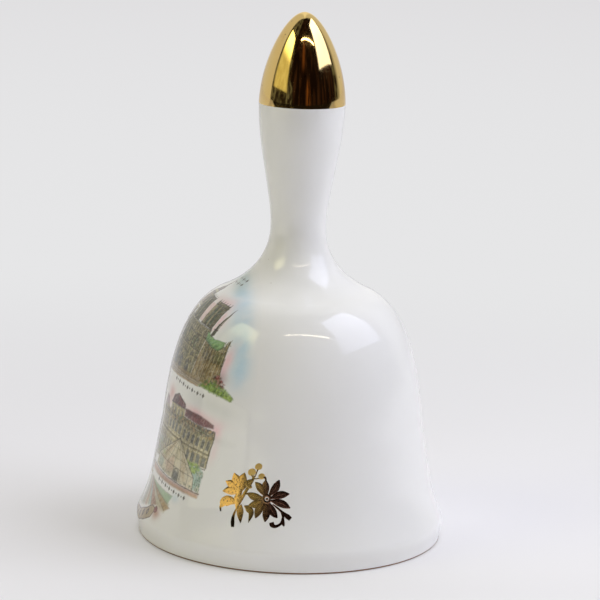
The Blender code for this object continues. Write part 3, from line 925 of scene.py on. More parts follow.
def paint_church(sheet):
    """A church with two square towers, a long nave and a thin spire over the crossing."""
    v = Vignette(sheet, -52.0, 52.0, 8.0, 24.0, 11)
    v.blot((-2.6, 12.4), (4.2, 2.2), "pink", 0.6)
    v.blot((1.6, 8.0), (1.7, 2.6), "pink", 0.4)
    v.blot((9.6, -1.6), (1.5, 4.6), "pink", 0.7)
    v.blot((9.8, -5.2), (1.8, 1.6), "maroon", 0.35)

    front = [(-14.6, -8.8), (-1.0, -8.3), (0.2, 4.6), (-13.8, 4.2)]
    v.area(front, "stone")
    tower(v, -12.6, -7.7, 4.6, 11.8, 0.3)
    tower(v, -5.6, -0.1, 4.9, 12.0, 0.7)
    v.area([(-7.5, 5.2), (-5.6, 5.2), (-5.0, 10.8), (-7.2, 10.8)], "pink", 0.5)
    v.area([(0.1, 4.8), (0.8, 4.4), (1.6, 9.6), (1.0, 10.6)], "pink", 0.4)
    v.area(box_points(-14.0, 2.3, 0.0, 4.4), "stone_dark", 0.4)
    v.tuft([(-14.4, 1.6), (-14.2, 4.6), (0.2, 5.2), (0.4, 2.0)], 0.36,
           ("line", "stone_light", "moss", "line", "stone_dark"), 90, 0.6)
    windows(v, -13.6, -0.2, 2.6, 11, 0.55, 1.2, "line", 0.7)
    for y in (4.7, 2.1, -1.5, -3.2):
        v.line([(-14.4, y - 0.1), (0.0, y)], 0.34, "line", 0.75)
        v.line([(-14.4, y - 0.5), (0.0, y - 0.4)], 0.26, "stone_light", 0.6)
    v.ring((-8.0, 0.5), 1.6, 0.4, "line", 0.85)
    v.area(disc_points(-8.0, 0.5, 1.1), "moss", 0.6)
    for a in np.arange(8) * math.pi / 4:
        v.line([(-8.0, 0.5), (-8.0 + 1.5 * math.cos(a), 0.5 + 1.5 * math.sin(a))], 0.16,
               "stone_light", 0.7)
    for x in (-12.0, -4.4):
        v.area(box_points(x - 1.6, -1.3, x + 1.6, 1.9), "stone_dark", 0.5)
        for dx in (-0.75, 0.75):
            lancet(v, x + dx, -1.2, 1.0, 2.9, "line", 0.8)
            lancet(v, x + dx + 0.1, -1.0, 0.45, 2.2, "copper", 0.5)
    for x in (-14.0, -10.1, -6.1, -2.0):
        v.area(box_points(x - 0.35, -8.6, x + 0.45, 4.4), "stone_light", 0.35)
        v.line([(x + 0.45, -8.7), (x + 0.5, 4.4)], 0.3, "line", 0.75)
    for x in (-12.1, -8.1, -4.1):
        lancet(v, x, -8.5, 2.9, 4.9, "stone_light", 0.8)
        lancet(v, x, -8.5, 2.3, 4.3, "line", 0.75)
        lancet(v, x + 0.1, -8.5, 1.3, 3.4, "shade", 0.85)
    v.blot((-11.4, -5.4), (2.4, 2.4), "shade", 0.5)
    v.tuft(front, 0.42, ("line", "stone_dark", "moss", "shade", "stone_light"), 120, 0.5)
    v.strokes(front, 230, 0.9, 0.2, ("line", "stone_light", "line", "line"), 0.55)

    nave = [(-0.9, -8.4), (8.2, -7.6), (9.1, -5.0), (8.0, 3.2), (5.6, 1.0), (2.4, 1.2), (0.1, 2.0)]
    v.area(nave, "sand")
    v.area([(-0.8, -8.2), (4.6, -7.8), (4.4, -3.4), (-0.6, -2.8)], "sand_dark", 0.3)
    v.strokes([(-0.9, -8.0), (8.3, -7.4), (8.9, -4.0), (0.0, -1.0)], 260, 1.5, 0.15,
              ("sand_dark", "cream", "sand_dark", "tan", "stone_light"), 0.65, upright=0.9)
    v.strokes([(0.2, -2.2), (8.6, -2.6), (8.0, 2.4), (5.4, 0.9), (0.3, 1.4)], 230, 1.1, 0.2,
              ("line", "stone_light", "stone_dark", "line", "moss"), 0.7, upright=0.8)
    for k in range(7):
        x = 0.7 + 1.2 * k
        v.line([(x, -6.8), (x + 0.1, 0.6)], 0.26, "stone_light", 0.6)
        v.line([(x + 0.3, -6.8), (x + 0.4, 0.7)], 0.2, "line", 0.55)
        v.line([(x, 0.6), (x + 0.15, 2.0)], (0.34, 0.1), "line", 0.7)
        lancet(v, x + 0.75, -2.4, 0.5, 2.2, "line", 0.65)
    v.area([(5.0, -1.4), (8.8, -1.6), (8.3, 0.4), (5.4, 0.4)], "moss", 0.3)
    roof = [(-0.6, 4.0), (3.0, 3.1), (6.6, 3.4), (6.8, 2.0), (5.4, 0.9), (2.3, 1.2), (0.1, 2.0)]
    v.area(roof, "copper")
    v.area(roof[3:] + [(0.5, 2.7), (3.0, 1.9), (5.4, 1.8)], "copper_dark", 0.35, 0.4)
    v.line(roof[3:], 0.4, "copper_dark", 0.85)
    v.line(roof[:3], 0.16, "copper_dark", 0.4)
    v.strokes(roof, 26, 1.2, 0.1, ("copper_dark", "grass_light"), 0.5, upright=0.2)
    v.strokes([(6.4, 0.6), (8.4, 0.2), (8.2, 3.8), (6.7, 3.4)], 60, 0.9, 0.2,
              ("line", "stone_dark", "stone_light", "line"), 0.75, upright=0.8)
    v.line([(7.9, 3.4), (8.3, 1.6), (8.5, -2.0), (9.0, -5.0), (8.6, -6.6)], 0.3, "line", 0.8)
    v.line([(7.8, 3.2), (8.3, 4.6)], (0.3, 0.1), "line", 0.8)
    spire = [(0.7, 3.4), (2.0, 3.8), (2.1, 6.4), (2.9, 9.4), (3.3, 11.9), (2.2, 8.6), (1.3, 6.0)]
    v.area(spire, "stone_dark")
    v.line([(1.3, 3.6), (1.9, 6.6), (3.35, 12.2)], (0.7, 0.5, 0.1), "line", 0.9)
    v.line([(1.9, 4.0), (2.6, 7.6), (3.1, 10.4)], (0.2, 0.2, 0.1), "moss", 0.9)
    v.line([(1.0, 5.2), (2.3, 5.3)], 0.4, "maroon_dark", 0.8)
    v.line([(1.5, 6.8), (2.5, 6.8)], 0.26, "line", 0.8)

    ground = [(-15.0, -8.6), (-1.5, -7.3), (4.2, -7.4), (9.0, -7.2), (14.8, -8.8), (14.4, -9.6),
              (7.3, -8.9), (2.5, -9.2), (-3.6, -9.6), (-14.6, -10.8)]
    v.area(ground, "sand", 0.8, 0.5)
    for y in (-8.1, -8.7, -9.2):
        v.line([(-14.6, y - 0.9), (-4.0, y - 0.1), (3.4, y)], 0.18, "sand_dark", 0.6)
    v.strokes([(-14.6, -8.6), (4.0, -7.6), (4.0, -9.0), (-14.0, -10.4)], 60, 1.4, 0.14,
              ("sand_dark", "cream", "brown"), 0.55, upright=0.1)
    v.line([(-14.4, -10.7), (-3.6, -9.5), (3.0, -9.2)], 0.4, "tan", 0.8)
    wedge = [(3.4, -8.9), (5.4, -7.4), (7.6, -6.3), (10.2, -6.7), (12.8, -7.6), (15.0, -9.0),
             (14.4, -9.7), (7.6, -9.2)]
    v.area(wedge, "grass", 0.85, 0.6)
    v.strokes(wedge, 190, 0.7, 0.24, ("grass_light", "leaf", "grass", "moss"), 0.65, upright=0.75)
    bed = [(7.6, -5.4), (8.8, -4.4), (11.6, -6.6), (10.8, -7.4), (8.2, -6.8)]
    v.tuft(bed, 0.3, ("red", "line", "salmon", "maroon_dark", "red", "leaf"), 130, 0.75)
    v.tuft([(4.6, -8.0), (6.0, -6.4), (8.4, -6.2), (9.6, -7.4), (6.0, -8.4)], 0.3,
           ("leaf", "grass", "moss", "copper_dark", "salmon"), 110, 0.7)


def paint_palace(sheet):
    """A stone palace with steep red roofs behind a glazed garden house."""
    v = Vignette(sheet, -54.0, 28.0, 8.0, 22.0, 29)
    v.blot((-10.6, 8.2), (2.4, 2.4), "pink", 0.9)
    v.blot((4.0, 8.2), (6.4, 1.3), "pink", 0.7)
    v.blot((10.2, 6.0), (1.7, 1.8), "pink", 0.8)
    v.blot((11.4, 1.0), (1.2, 3.2), "pink", 0.3)
    v.blot((7.0, 11.2), (8.0, 2.6), "slate", 0.2)
    wall = [(-14.5, -9.0), (-14.5, 5.0), (-9.2, 5.0), (-9.0, 7.2), (-1.6, 7.6), (-1.5, 5.9),
            (10.3, 5.0), (10.4, -3.6), (4.0, -4.6)]
    v.area(wall, "wall", 0.95, 0.3, 0.5)
    v.area([(-14.5, -9.0), (-14.5, 5.0), (-9.0, 5.0), (-8.6, -8.0)], "stone", 0.6, 0.6)
    v.blot((2.0, 3.9), (9.0, 1.0), "stone_dark", 0.3)

    roof = [(-1.5, 6.0), (-1.3, 8.0), (4.8, 8.2), (9.4, 7.3), (9.6, 6.3), (5.1, 5.7)]
    v.area(roof, "maroon", 0.95, 0.4)
    v.blot((5.0, 7.2), (3.6, 0.9), "red", 0.4)
    v.area([(-1.4, 6.8), (-1.3, 8.0), (4.8, 8.2), (6.0, 7.4)], "maroon_dark", 0.35, 0.6)
    v.strokes(roof, 60, 0.5, 0.2, ("maroon_dark", "salmon", "red"), 0.35, upright=0.7)
    dome = [(-9.3, 7.0), (-8.3, 9.1), (-5.9, 10.3), (-2.0, 8.9), (-1.6, 7.7)]
    v.area(dome, "maroon")
    v.area([(-9.0, 7.2), (-8.1, 9.0), (-5.9, 10.2), (-5.2, 7.6)], "maroon_dark", 0.6)
    v.strokes(dome, 40, 1.2, 0.18, ("maroon_dark", "line", "salmon"), 0.4, upright=0.8)
    v.line(dome + dome[:1], 0.24, "line", 0.75)
    windows(v, -9.0, -1.6, 4.7, 4, 0.75, 1.9, "slate", 0.85)
    v.line([(-9.3, 7.1), (-1.5, 7.6)], 0.34, "line", 0.7)
    v.line([(-9.2, 4.4), (-1.5, 4.6)], 0.34, "line", 0.75)
    v.area([(-14.4, 5.0), (-13.6, 7.8), (-11.6, 7.2), (-10.4, 5.0)], "maroon", 0.75, 0.4)

    for x in np.linspace(-1.0, 9.8, 10):
        v.area(disc_points(x, 5.3, 0.62), "stone_dark", 0.85)
        v.area(disc_points(x + 0.05, 5.2, 0.36), "tan", 0.9)
        v.line([(x + 0.55, 4.6), (x + 0.55, 5.7)], 0.24, "line", 0.8)
    for y, wide, tone in ((4.3, 0.34, "line"), (3.8, 0.24, "stone_dark"), (-0.3, 0.34, "line"),
                          (0.2, 0.3, "pale"), (-0.9, 0.26, "pale"), (-4.1, 0.3, "line")):
        v.line([(-14.4, y - 0.4), (-9.0, y - 0.1), (10.4, y)], wide, tone, 0.75)
    windows(v, -0.9, 10.2, 0.6, 6, 1.0, 2.5, "shade", 0.9)
    windows(v, -8.8, -1.2, 0.8, 4, 1.15, 2.6, "slate", 0.9)
    windows(v, -14.2, -9.4, 0.4, 4, 0.6, 2.3, "shade", 0.7)
    windows(v, 2.2, 10.2, -3.7, 4, 1.15, 2.6, "slate", 0.9)
    windows(v, -14.2, -4.4, -4.4, 7, 0.72, 2.5, "shade", 0.65)
    for x in np.linspace(-0.9, 10.2, 7):
        v.line([(x, -4.0), (x, 4.0)], 0.34, "stone", 0.6)
        v.line([(x + 0.24, -4.0), (x + 0.2, 4.0)], 0.2, "line", 0.6)
    v.tuft([(-9.0, 3.4), (-9.0, 5.0), (-1.5, 5.6), (10.2, 5.6), (10.2, 3.4)], 0.34,
           ("line", "stone_dark", "tan", "line", "moss"), 150, 0.7)
    v.strokes(wall, 300, 0.8, 0.14, ("line", "pale", "stone_dark", "tan"), 0.42, upright=0.6)
    v.line([(10.3, 5.2), (10.5, 3.0), (10.2, 0.0), (10.6, -3.6)], 0.32, "line", 0.65)

    v.area([(4.6, -4.8), (9.0, -4.2), (10.2, -5.0), (10.0, -10.2), (8.0, -9.8)], "teal", 0.85, 0.6)
    v.tuft([(4.0, -4.0), (8.2, -3.4), (8.8, -5.6), (6.6, -6.0)], 0.42,
           ("grass", "leaf", "grass_light"), 60, 0.7)
    v.strokes([(7.6, -5.0), (10.4, -4.6), (10.2, -10.2), (8.6, -9.8)], 110, 0.6, 0.24,
              ("leaf", "teal", "copper_dark", "line", "pale"), 0.6, upright=0.6)
    v.tuft([(-14.0, -4.0), (-9.2, -3.0), (-10.0, -6.6), (-14.0, -8.2)], 0.4,
           ("moss", "grass", "teal"), 60, 0.55)

    apex, left, right = (-0.9, 0.2), (-10.6, -7.2), (7.6, -7.2)
    foot_left, foot_right = (-11.2, -10.4), (8.2, -10.2)
    v.area([apex, left, foot_left, foot_right, right], "pale", 0.97, 0.25, 0.2)
    v.area([apex, (-3.6, -2.0), (-9.0, -7.6), (-5.6, -7.4)], "tan", 0.5, 0.6)
    v.area([(1.4, -2.4), (3.9, -4.6), (4.6, -9.4), (2.2, -8.2)], "tan", 0.4, 0.8)
    v.area([(-5.6, -7.4), (-1.6, -4.6), (-0.6, -8.4), (-4.0, -9.8)], "salmon", 0.45, 0.8)
    v.area([(-9.6, -7.4), (-6.4, -7.6), (-7.0, -10.0), (-10.4, -9.8)], "teal", 0.6, 0.8)
    v.blot((-7.6, -6.0), (1.4, 0.7), "grass_light", 0.5)
    v.blot((0.8, -9.0), (1.5, 1.1), "shade", 0.75)
    v.blot((0.0, -3.0), (0.9, 1.6), "cream", 0.7)
    for foot in (-7.6, -4.2, -0.8, 2.6, 5.6):
        v.line([apex, (foot, -7.3), (foot, -10.3)], 0.17, "soft_line", 0.8)
    for t in (0.36, 0.68):
        a = [p + (q - p) * t for p, q in zip(apex, left)]
        b = [p + (q - p) * t for p, q in zip(apex, right)]
        v.line([a, b], 0.15, "soft_line", 0.7)
    v.line([left, (7.6, -7.2)], 0.2, "line", 0.7)
    v.line([apex, left, foot_left], 0.24, "line", 0.8)
    v.line([apex, right, foot_right], 0.26, "line", 0.85)
    v.area(box_points(-0.4, -10.4, 1.7, -7.9), "shade", 0.7, 0.3)
    v.line([(-0.5, -10.4), (-0.5, -7.9), (0.6, -7.2), (1.8, -7.9), (1.8, -10.4)], 0.22,
           "line", 0.85)
    v.strokes([(-10.8, -9.4), (9.6, -9.2), (9.6, -10.4), (-10.8, -10.6)], 90, 0.6, 0.2,
              ("line", "slate", "pale", "leaf"), 0.6)

    band = [(-13.6, -11.0), (-4.0, -10.9), (10.4, -10.4), (10.2, -11.4), (-3.6, -12.2),
            (-13.6, -12.6)]
    v.area(band, "brown", 0.4, 0.9)
    v.area(band, "salmon", 0.75, 0.9)
    v.line([(-13.8, -10.8), (-4.0, -10.7), (10.6, -10.4)], 0.3, "line", 0.8)
    v.line([(-10.0, -12.3), (10.3, -11.3)], 0.4, "tan", 0.6)


def paint_column(sheet):
    """A slender column with a lantern on it, over a fan of ribbons, in the print's middle."""
    v = Vignette(sheet, PRINT_MIDDLE, 15.0, 0.0, 60.0, 47)
    shaft = [(-2.4, 1.0), (-1.35, 18.0), (-0.95, 45.0), (0.95, 45.0), (1.35, 18.0), (2.4, 1.0)]
    v.area(shaft, "stone", 0.9, 0.3)
    v.area([(0.2, 1.0), (0.1, 45.0), (0.95, 45.0), (1.35, 18.0), (2.4, 1.0)], "stone_dark",
           0.55, 0.4)
    v.line(shaft[:3], 0.22, "line", 0.8)
    v.line(shaft[3:], 0.26, "line", 0.85)
    for y in np.arange(2.0, 44.0, 2.05):
        half = float(np.interp(y, (1.0, 18.0, 45.0), (2.4, 1.35, 0.95)))
        v.line([(-half, y), (0.0, y + 0.5), (half, y)], 0.18, "line", 0.55)
    lantern = [(-1.7, 46.6), (-1.7, 51.2), (-1.3, 53.1), (0.0, 54.6), (1.3, 53.1), (1.7, 51.2),
               (1.7, 46.6)]
    v.area(lantern, "brown")
    v.area(lantern, "maroon_dark", 0.5)
    v.line(lantern, 0.4, "maroon_dark", 0.9)
    for x in (-0.8, 0.0, 0.8):
        lancet(v, x, 47.0, 0.5, 3.4, "tan", 0.7)
    v.line([(0.0, 54.0), (0.0, 57.6)], (1.2, 0.3), "brown")
    for y, half in ((1.0, 3.2), (18.0, 2.1), (45.1, 1.5), (46.3, 2.2), (51.3, 2.0)):
        v.area(box_points(-half, y - 0.35, half, y + 0.45), "stone_light", 0.95)
        v.line([(-half, y - 0.35), (half, y - 0.35)], 0.2, "line", 0.8)

    fan = (  # near and far foot of each ribbon, their heights, tone, cover
        (17.4, 19.3, -5.6, -4.5, "tan", 0.85), (17.6, 18.8, -3.6, -1.4, "copper", 0.7),
        (9.8, 12.7, -6.1, -5.2, "salmon", 0.8), (8.2, 9.6, -6.4, -6.0, "sky", 0.5),
        (5.4, 6.9, -7.2, -6.9, "salmon", 0.7), (2.6, 4.8, -7.9, -7.4, "moss", 0.45),
        (0.0, 1.8, -8.0, -8.0, "sky", 0.4),
    )
    for side in (-1, 1):
        spread = [(side * x, y) for x, y in ((2.0, 0.4), (4.9, 0.6), (18.4, -3.6), (17.6, -6.0),
                                             (12.8, -5.4), (0.0, -8.4))]
        v.area(spread, "stone_light", 0.8, 1.0, 0.4)
        for near, far, low, high, tone, cover in fan:
            start = 4.9 if far > 6.0 else 3.0
            edge = [(start - 0.25, 0.3), (start + 0.25, 0.4), (far, high), (near, low)]
            edge = [(side * x, y) for x, y in edge]
            v.area(edge, tone, cover, 0.45, 0.4)
            v.line([edge[0], edge[3]], (0.1, 0.26), "brown", 0.6)
            v.line([edge[1], edge[2]], (0.1, 0.18), "brown", 0.35)
        v.blot((side * 19.8, -1.6), (1.6, 1.1), "sky", 0.3)


def paint_label(sheet):
    """A cream scroll with a row of lozenges, knotted with a red ball at each end."""
    v = Vignette(sheet, PRINT_MIDDLE, 7.6, 0.0, 20.0, 61)
    right = [(0.0, -1.7), (4.0, -1.4), (8.0, 0.0), (11.0, 1.7), (12.8, 1.3), (12.9, 0.2),
             (12.2, -1.4), (9.6, -2.7), (5.0, -4.0), (0.0, -4.4)]
    scroll = right + [(-x, y) for x, y in right[::-1]]
    for side in (-1, 1):
        v.blot((side * 14.4, 0.4), (2.0, 1.7), "salmon", 0.75)
    v.area(scroll, "tan", 0.8, 0.2, 0.15)
    v.area(scroll, "cream", 0.3, 0.2, 0.15)
    v.area([(6.0, -1.2), (11.0, 1.4), (12.6, 0.2), (9.6, -2.5), (6.0, -3.6)], "tan", 0.4, 0.7)
    v.line(scroll + scroll[:1], 0.34, "brown", 0.95)
    for x in np.linspace(-9.6, 9.6, 9):
        y = -3.0 + 0.026 * x * x
        v.area([(x - 0.72, y), (x, y + 1.15), (x + 0.72, y), (x, y - 1.15)], "maroon_dark", 0.95)
        v.area([(x - 0.2, y), (x, y + 0.4), (x + 0.2, y), (x, y - 0.4)], "pale", 0.9)
    for side in (-1, 1):
        v.area(disc_points(side * 13.5, 1.1, 0.85), "red", 0.9, 0.3)
        v.ring((side * 13.5, 1.1), 0.85, 0.2, "maroon_dark", 0.6)


def paint_castle(sheet):
    """A walled town gate between round towers, on the far side of the print."""
    v = Vignette(sheet, -117.0, 50.0, -8.0, 19.0, 73)
    v.blot((0.0, 9.5), (10.0, 4.0), "pink", 0.5)
    v.blot((-8.0, 0.0), (3.5, 6.5), "pink", 0.45)
    v.area([(-10.0, -8.6), (11.5, -8.8), (11.5, 1.2), (-10.0, 0.8)], "sand")
    windows(v, -9.6, 11.0, -3.0, 12, 0.5, 1.8, "line", 0.6)
    for k in range(20):
        x = -9.9 + 1.1 * k
        v.area(box_points(x, 0.8, x + 0.6, 1.9), "stone", 0.9)
    for y in (0.6, -1.0, -4.2, -6.4):
        v.line([(-10.0, y), (11.5, y)], 0.18, "sand_dark", 0.55)
    v.strokes([(-10.0, -8.6), (11.5, -8.8), (11.5, 1.2), (-10.0, 0.8)], 260, 0.8, 0.16,
              ("sand_dark", "cream", "line", "tan"), 0.5, upright=0.3)
    for x, low, top, half in ((-8.0, -8.7, 5.0, 1.9), (1.6, -8.9, 7.6, 2.1),
                              (7.4, -8.9, 6.4, 2.0)):
        v.area(box_points(x - half, low, x + half, top), "stone")
        v.area(box_points(x + half * 0.3, low, x + half, top), "stone_dark", 0.6)
        v.area(box_points(x - half, low, x - half * 0.5, top), "stone_light", 0.7)
        roof = [(x - half - 0.5, top), (x, top + 4.6), (x + half + 0.5, top)]
        v.area(roof, "slate")
        v.area([roof[1], roof[2], (x + 0.3, top)], "shade", 0.7)
        v.line(roof + roof[:1], 0.22, "line", 0.8)
        v.line([(x - half, low), (x - half, top)], 0.2, "line", 0.75)
        v.line([(x + half, low), (x + half, top)], 0.24, "line", 0.8)
        v.strokes([(x - half, low), (x + half, low), (x + half, top), (x - half, top)], 90, 0.8,
                  0.15, ("line", "stone_light", "stone_dark"), 0.5, upright=0.4)
        for y in (top - 2.6, top - 6.4, top - 9.6):
            lancet(v, x, y, 0.7, 1.7, "line", 0.85)
    lancet(v, 4.5, -8.9, 2.6, 5.6, "line", 0.85)
    lancet(v, 4.6, -8.9, 1.6, 4.4, "shade", 0.85)
    v.area([(-12.0, -8.4), (12.4, -8.6), (12.2, -10.4), (-11.6, -10.2)], "grass", 0.85, 0.6)
    v.tuft([(-12.4, -10.0), (-10.4, -4.8), (-7.8, -5.6), (-6.2, -9.8)], 0.6,
           ("leaf", "grass", "moss"), 110)
    v.tuft([(-5.0, -10.2), (-4.0, -7.6), (0.0, -7.8), (1.0, -10.2)], 0.5,
           ("red", "leaf", "salmon"), 60, 0.8)
    v.line([(-11.8, -10.35), (12.4, -10.5)], 0.24, "soft_line", 0.85)


def paint_mill(sheet):
    """A windmill among trees and cottages, on the far side of the print."""
    v = Vignette(sheet, -117.0, 27.0, -8.0, 18.0, 89)
    v.blot((0.0, 6.5), (9.5, 4.5), "sky", 0.5)
    v.blot((-9.0, 1.5), (3.0, 4.5), "pink", 0.45)
    hill = [(-11.5, -9.8), (-9.0, -6.0), (-2.0, -4.2), (6.0, -5.0), (11.5, -8.2), (11.5, -10.6)]
    v.area(hill, "grass", 0.9, 0.6)
    for x0, x1, low, top in ((-8.6, -3.6, -7.0, -3.4), (5.4, 10.6, -8.4, -4.4)):
        v.area(box_points(x0, low, x1, top), "cream")
        v.area([(x0 - 0.6, top), (x0 + 0.9, top + 2.4), (x1 - 0.9, top + 2.4), (x1 + 0.6, top)],
               "maroon")
        windows(v, x0, x1, low + 1.0, 3, 0.8, 1.6, "shade", 0.8)
        v.line(box_points(x0, low, x1, top), 0.2, "line", 0.7)
    body = [(-2.2, -6.6), (-1.3, 3.4), (1.5, 3.4), (2.6, -6.6)]
    v.area(body, "stone_light")
    v.area([(0.6, -6.6), (0.5, 3.4), (1.5, 3.4), (2.6, -6.6)], "stone", 0.8)
    v.line(body, 0.22, "line", 0.8)
    v.strokes(body, 90, 0.8, 0.15, ("line", "pale", "stone_dark"), 0.45, upright=0.3)
    v.strokes(hill, 200, 0.8, 0.2, ("leaf", "grass_light", "moss"), 0.5, upright=0.6)
    v.area([(-1.8, 3.2), (-0.9, 5.2), (0.9, 5.4), (2.0, 3.2)], "maroon")
    for y in (-4.8, -1.4, 1.2):
        lancet(v, 0.2, y, 0.9, 1.6, "shade", 0.85)
    hub = (0.0, 3.4)
    for k in range(4):
        a = math.radians(28 + 90 * k)
        ux, uy = math.cos(a), math.sin(a)
        far = (hub[0] + 7.2 * ux, hub[1] + 7.2 * uy)
        v.line([hub, far], 0.3, "line", 0.9)
        cloth = []
        for d, w in ((1.6, 0.0), (1.6, 1.5), (7.0, 1.5), (7.0, 0.0)):
            cloth.append((hub[0] + d * ux - w * uy, hub[1] + d * uy + w * ux))
        v.area(cloth, "cream", 0.85)
        v.line(cloth + cloth[:1], 0.16, "line", 0.75)
        for d in np.linspace(2.2, 6.4, 6):
            start = (hub[0] + d * ux, hub[1] + d * uy)
            v.line([start, (start[0] - 1.5 * uy, start[1] + 1.5 * ux)], 0.12, "soft_line")
    v.blot(hub, (0.6, 0.6), "line", 0.9, 4.0)
    v.tuft([(-12.0, -9.6), (-11.4, -3.4), (-8.8, -3.6), (-8.0, -9.6)], 0.6,
           ("leaf", "moss", "grass"), 130)
    v.tuft([(2.8, -8.8), (3.4, -3.2), (5.2, -4.0), (5.6, -9.0)], 0.5,
           ("leaf", "moss", "grass"), 90)
    v.tuft([(-4.4, -10.2), (-3.6, -7.6), (2.6, -7.6), (3.0, -10.4)], 0.4,
           ("red", "leaf", "grass_light"), 70, 0.8)
    v.line([(-11.6, -10.0), (11.6, -10.7)], 0.22, "soft_line", 0.85)


def paint_flourish(sheet, azimuth, reach, tilt, seed, half=6):
    """A row of small lozenges and dots, under a picture."""
    v = Vignette(sheet, azimuth, reach, tilt, 10.0, seed)
    for number in range(-half, half + 1):
        x = 1.1 * number
        if number % 2:
            v.area(disc_points(x, 0.0, 0.22), "line", 0.85)
        else:
            v.area([(x - 0.45, 0.0), (x, 0.62), (x + 0.45, 0.0), (x, -0.62)], "line", 0.9)


WASH_TURN = (2.0, 14.0, 26.0, 37.5, 45.5, 51.5, 55.6, 58.0, 58.4)  # degrees from the middle
WASH_REACH = (74.0, 73.4, 71.4, 68.2, 65.2, 61.5, 56.8, 50.0, 40.0)


def paint_sky(sheet):
    """Soft washes of blue over the top and down both sides."""
    v = Vignette(sheet, PRINT_MIDDLE, 45.0, 0.0, 62.0, 97)
    reach = sheet.reach[v.at]
    aside = np.abs(sheet.azimuth[v.at] - PRINT_MIDDLE)
    gap = np.full(len(reach), 1e9)
    scale = sheet.radius[v.at]
    for k in range(len(WASH_TURN) - 1):
        x = np.radians(aside - WASH_TURN[k]) * scale
        y = reach - WASH_REACH[k]
        ex = np.radians(WASH_TURN[k + 1] - WASH_TURN[k]) * scale
        ey = WASH_REACH[k + 1] - WASH_REACH[k]
        t = np.clip((x * ex + y * ey) / (ex * ex + ey * ey), 0, 1)
        gap = np.minimum(gap, np.hypot(x - t * ex, y - t * ey))
    puffs = np.clip(0.9 + 0.7 * v.cloud + 0.3 * (mottle(v.x, v.y, 6.0, 5) - 0.5), 0, 1)
    ends = np.clip((reach - 41.0) / 7.0, 0, 1)
    every = np.arange(len(reach))
    v.lay(every, "sky", np.exp(-((gap / 2.6) ** 2)) * ends * puffs * 0.72, 0.05)
    within = np.interp(reach, WASH_REACH[::-1], WASH_TURN[::-1])
    inside = np.radians(within - aside) * scale
    haze = np.clip(inside / 2.0, 0, 1) * np.exp(-np.clip(inside, 0, None) / 4.0)
    v.lay(every, "sky", haze * ends * 0.35, 0.05)


def print_tile(name, sheet, rows, cols, material):
    """A closed film over the inked points of one block of the sheet."""
    azimuth, reach = sheet.azimuth[rows, cols], sheet.reach[rows, cols]
    cover = sheet.cover[rows, cols]
    ink = sheet.ink[rows, cols] / np.maximum(cover, 1e-4)[..., None]
    inked = cover > LEAST_COVER
    cell = inked[:-1, :-1] | inked[1:, :-1] | inked[:-1, 1:] | inked[1:, 1:]
    cell = solid_cells(cell)
    height, width = azimuth.shape
    index = np.arange(height * width).reshape(height, width)
    a, b = index[:-1, :-1][cell], index[:-1, 1:][cell]
    c, d = index[1:, 1:][cell], index[1:, :-1][cell]
    count = height * width
    front = np.stack([a, b, c, d], 1)
    back = np.stack([d, c, b, a], 1) + count
    framed = np.pad(cell, 1)
    core = framed[1:-1, 1:-1]
    sides = []
    for beyond, start, end in (
        (framed[:-2, 1:-1], index[:-1, :-1], index[:-1, 1:]),
        (framed[2:, 1:-1], index[1:, 1:], index[1:, :-1]),
        (framed[1:-1, :-2], index[1:, :-1], index[:-1, :-1]),
        (framed[1:-1, 2:], index[:-1, 1:], index[1:, 1:]),
    ):
        edge = core & ~beyond
        s, e = start[edge], end[edge]
        sides.append(np.stack([e, s, s + count, e + count], 1))
    faces = np.concatenate([front, back, *sides])
    verts = np.concatenate(
        [
            on_bell(azimuth, reach, FILM_FRONT).reshape(-1, 3),
            on_bell(azimuth, reach, FILM_BACK).reshape(-1, 3),
        ]
    )
    colour = np.concatenate([ink.reshape(-1, 3), cover.reshape(-1, 1)], 1)
    colour = np.concatenate([colour, colour])
    used, packed = np.unique(faces, return_inverse=True)
    faces = packed.reshape(faces.shape)
    mesh = bpy.data.meshes.new(name)
    mesh.vertices.add(len(used))
    mesh.vertices.foreach_set("co", verts[used].astype(np.float32).ravel())
    mesh.loops.add(faces.size)
    mesh.loops.foreach_set("vertex_index", faces.astype(np.int32).ravel())
    mesh.polygons.add(len(faces))
    mesh.polygons.foreach_set("loop_start", np.arange(0, faces.size, 4, dtype=np.int32))
    mesh.update(calc_edges=True)
    layer = mesh.color_attributes.new("ink", "FLOAT_COLOR", "POINT")
    layer.data.foreach_set("color", colour[used].astype(np.float32).ravel())
    return link_mesh(name, mesh, material)


def solid_cells(cell):
    """Fills places where two cells touch only at a corner."""
    cell = cell.copy()
    for _ in range(4):
        one = cell[:-1, :-1] & cell[1:, 1:] & ~cell[:-1, 1:] & ~cell[1:, :-1]
        two = ~cell[:-1, :-1] & ~cell[1:, 1:] & cell[:-1, 1:] & cell[1:, :-1]
        if not (one.any() or two.any()):
            break
        cell[:-1, 1:] |= one
        cell[:-1, :-1] |= two
    return cell


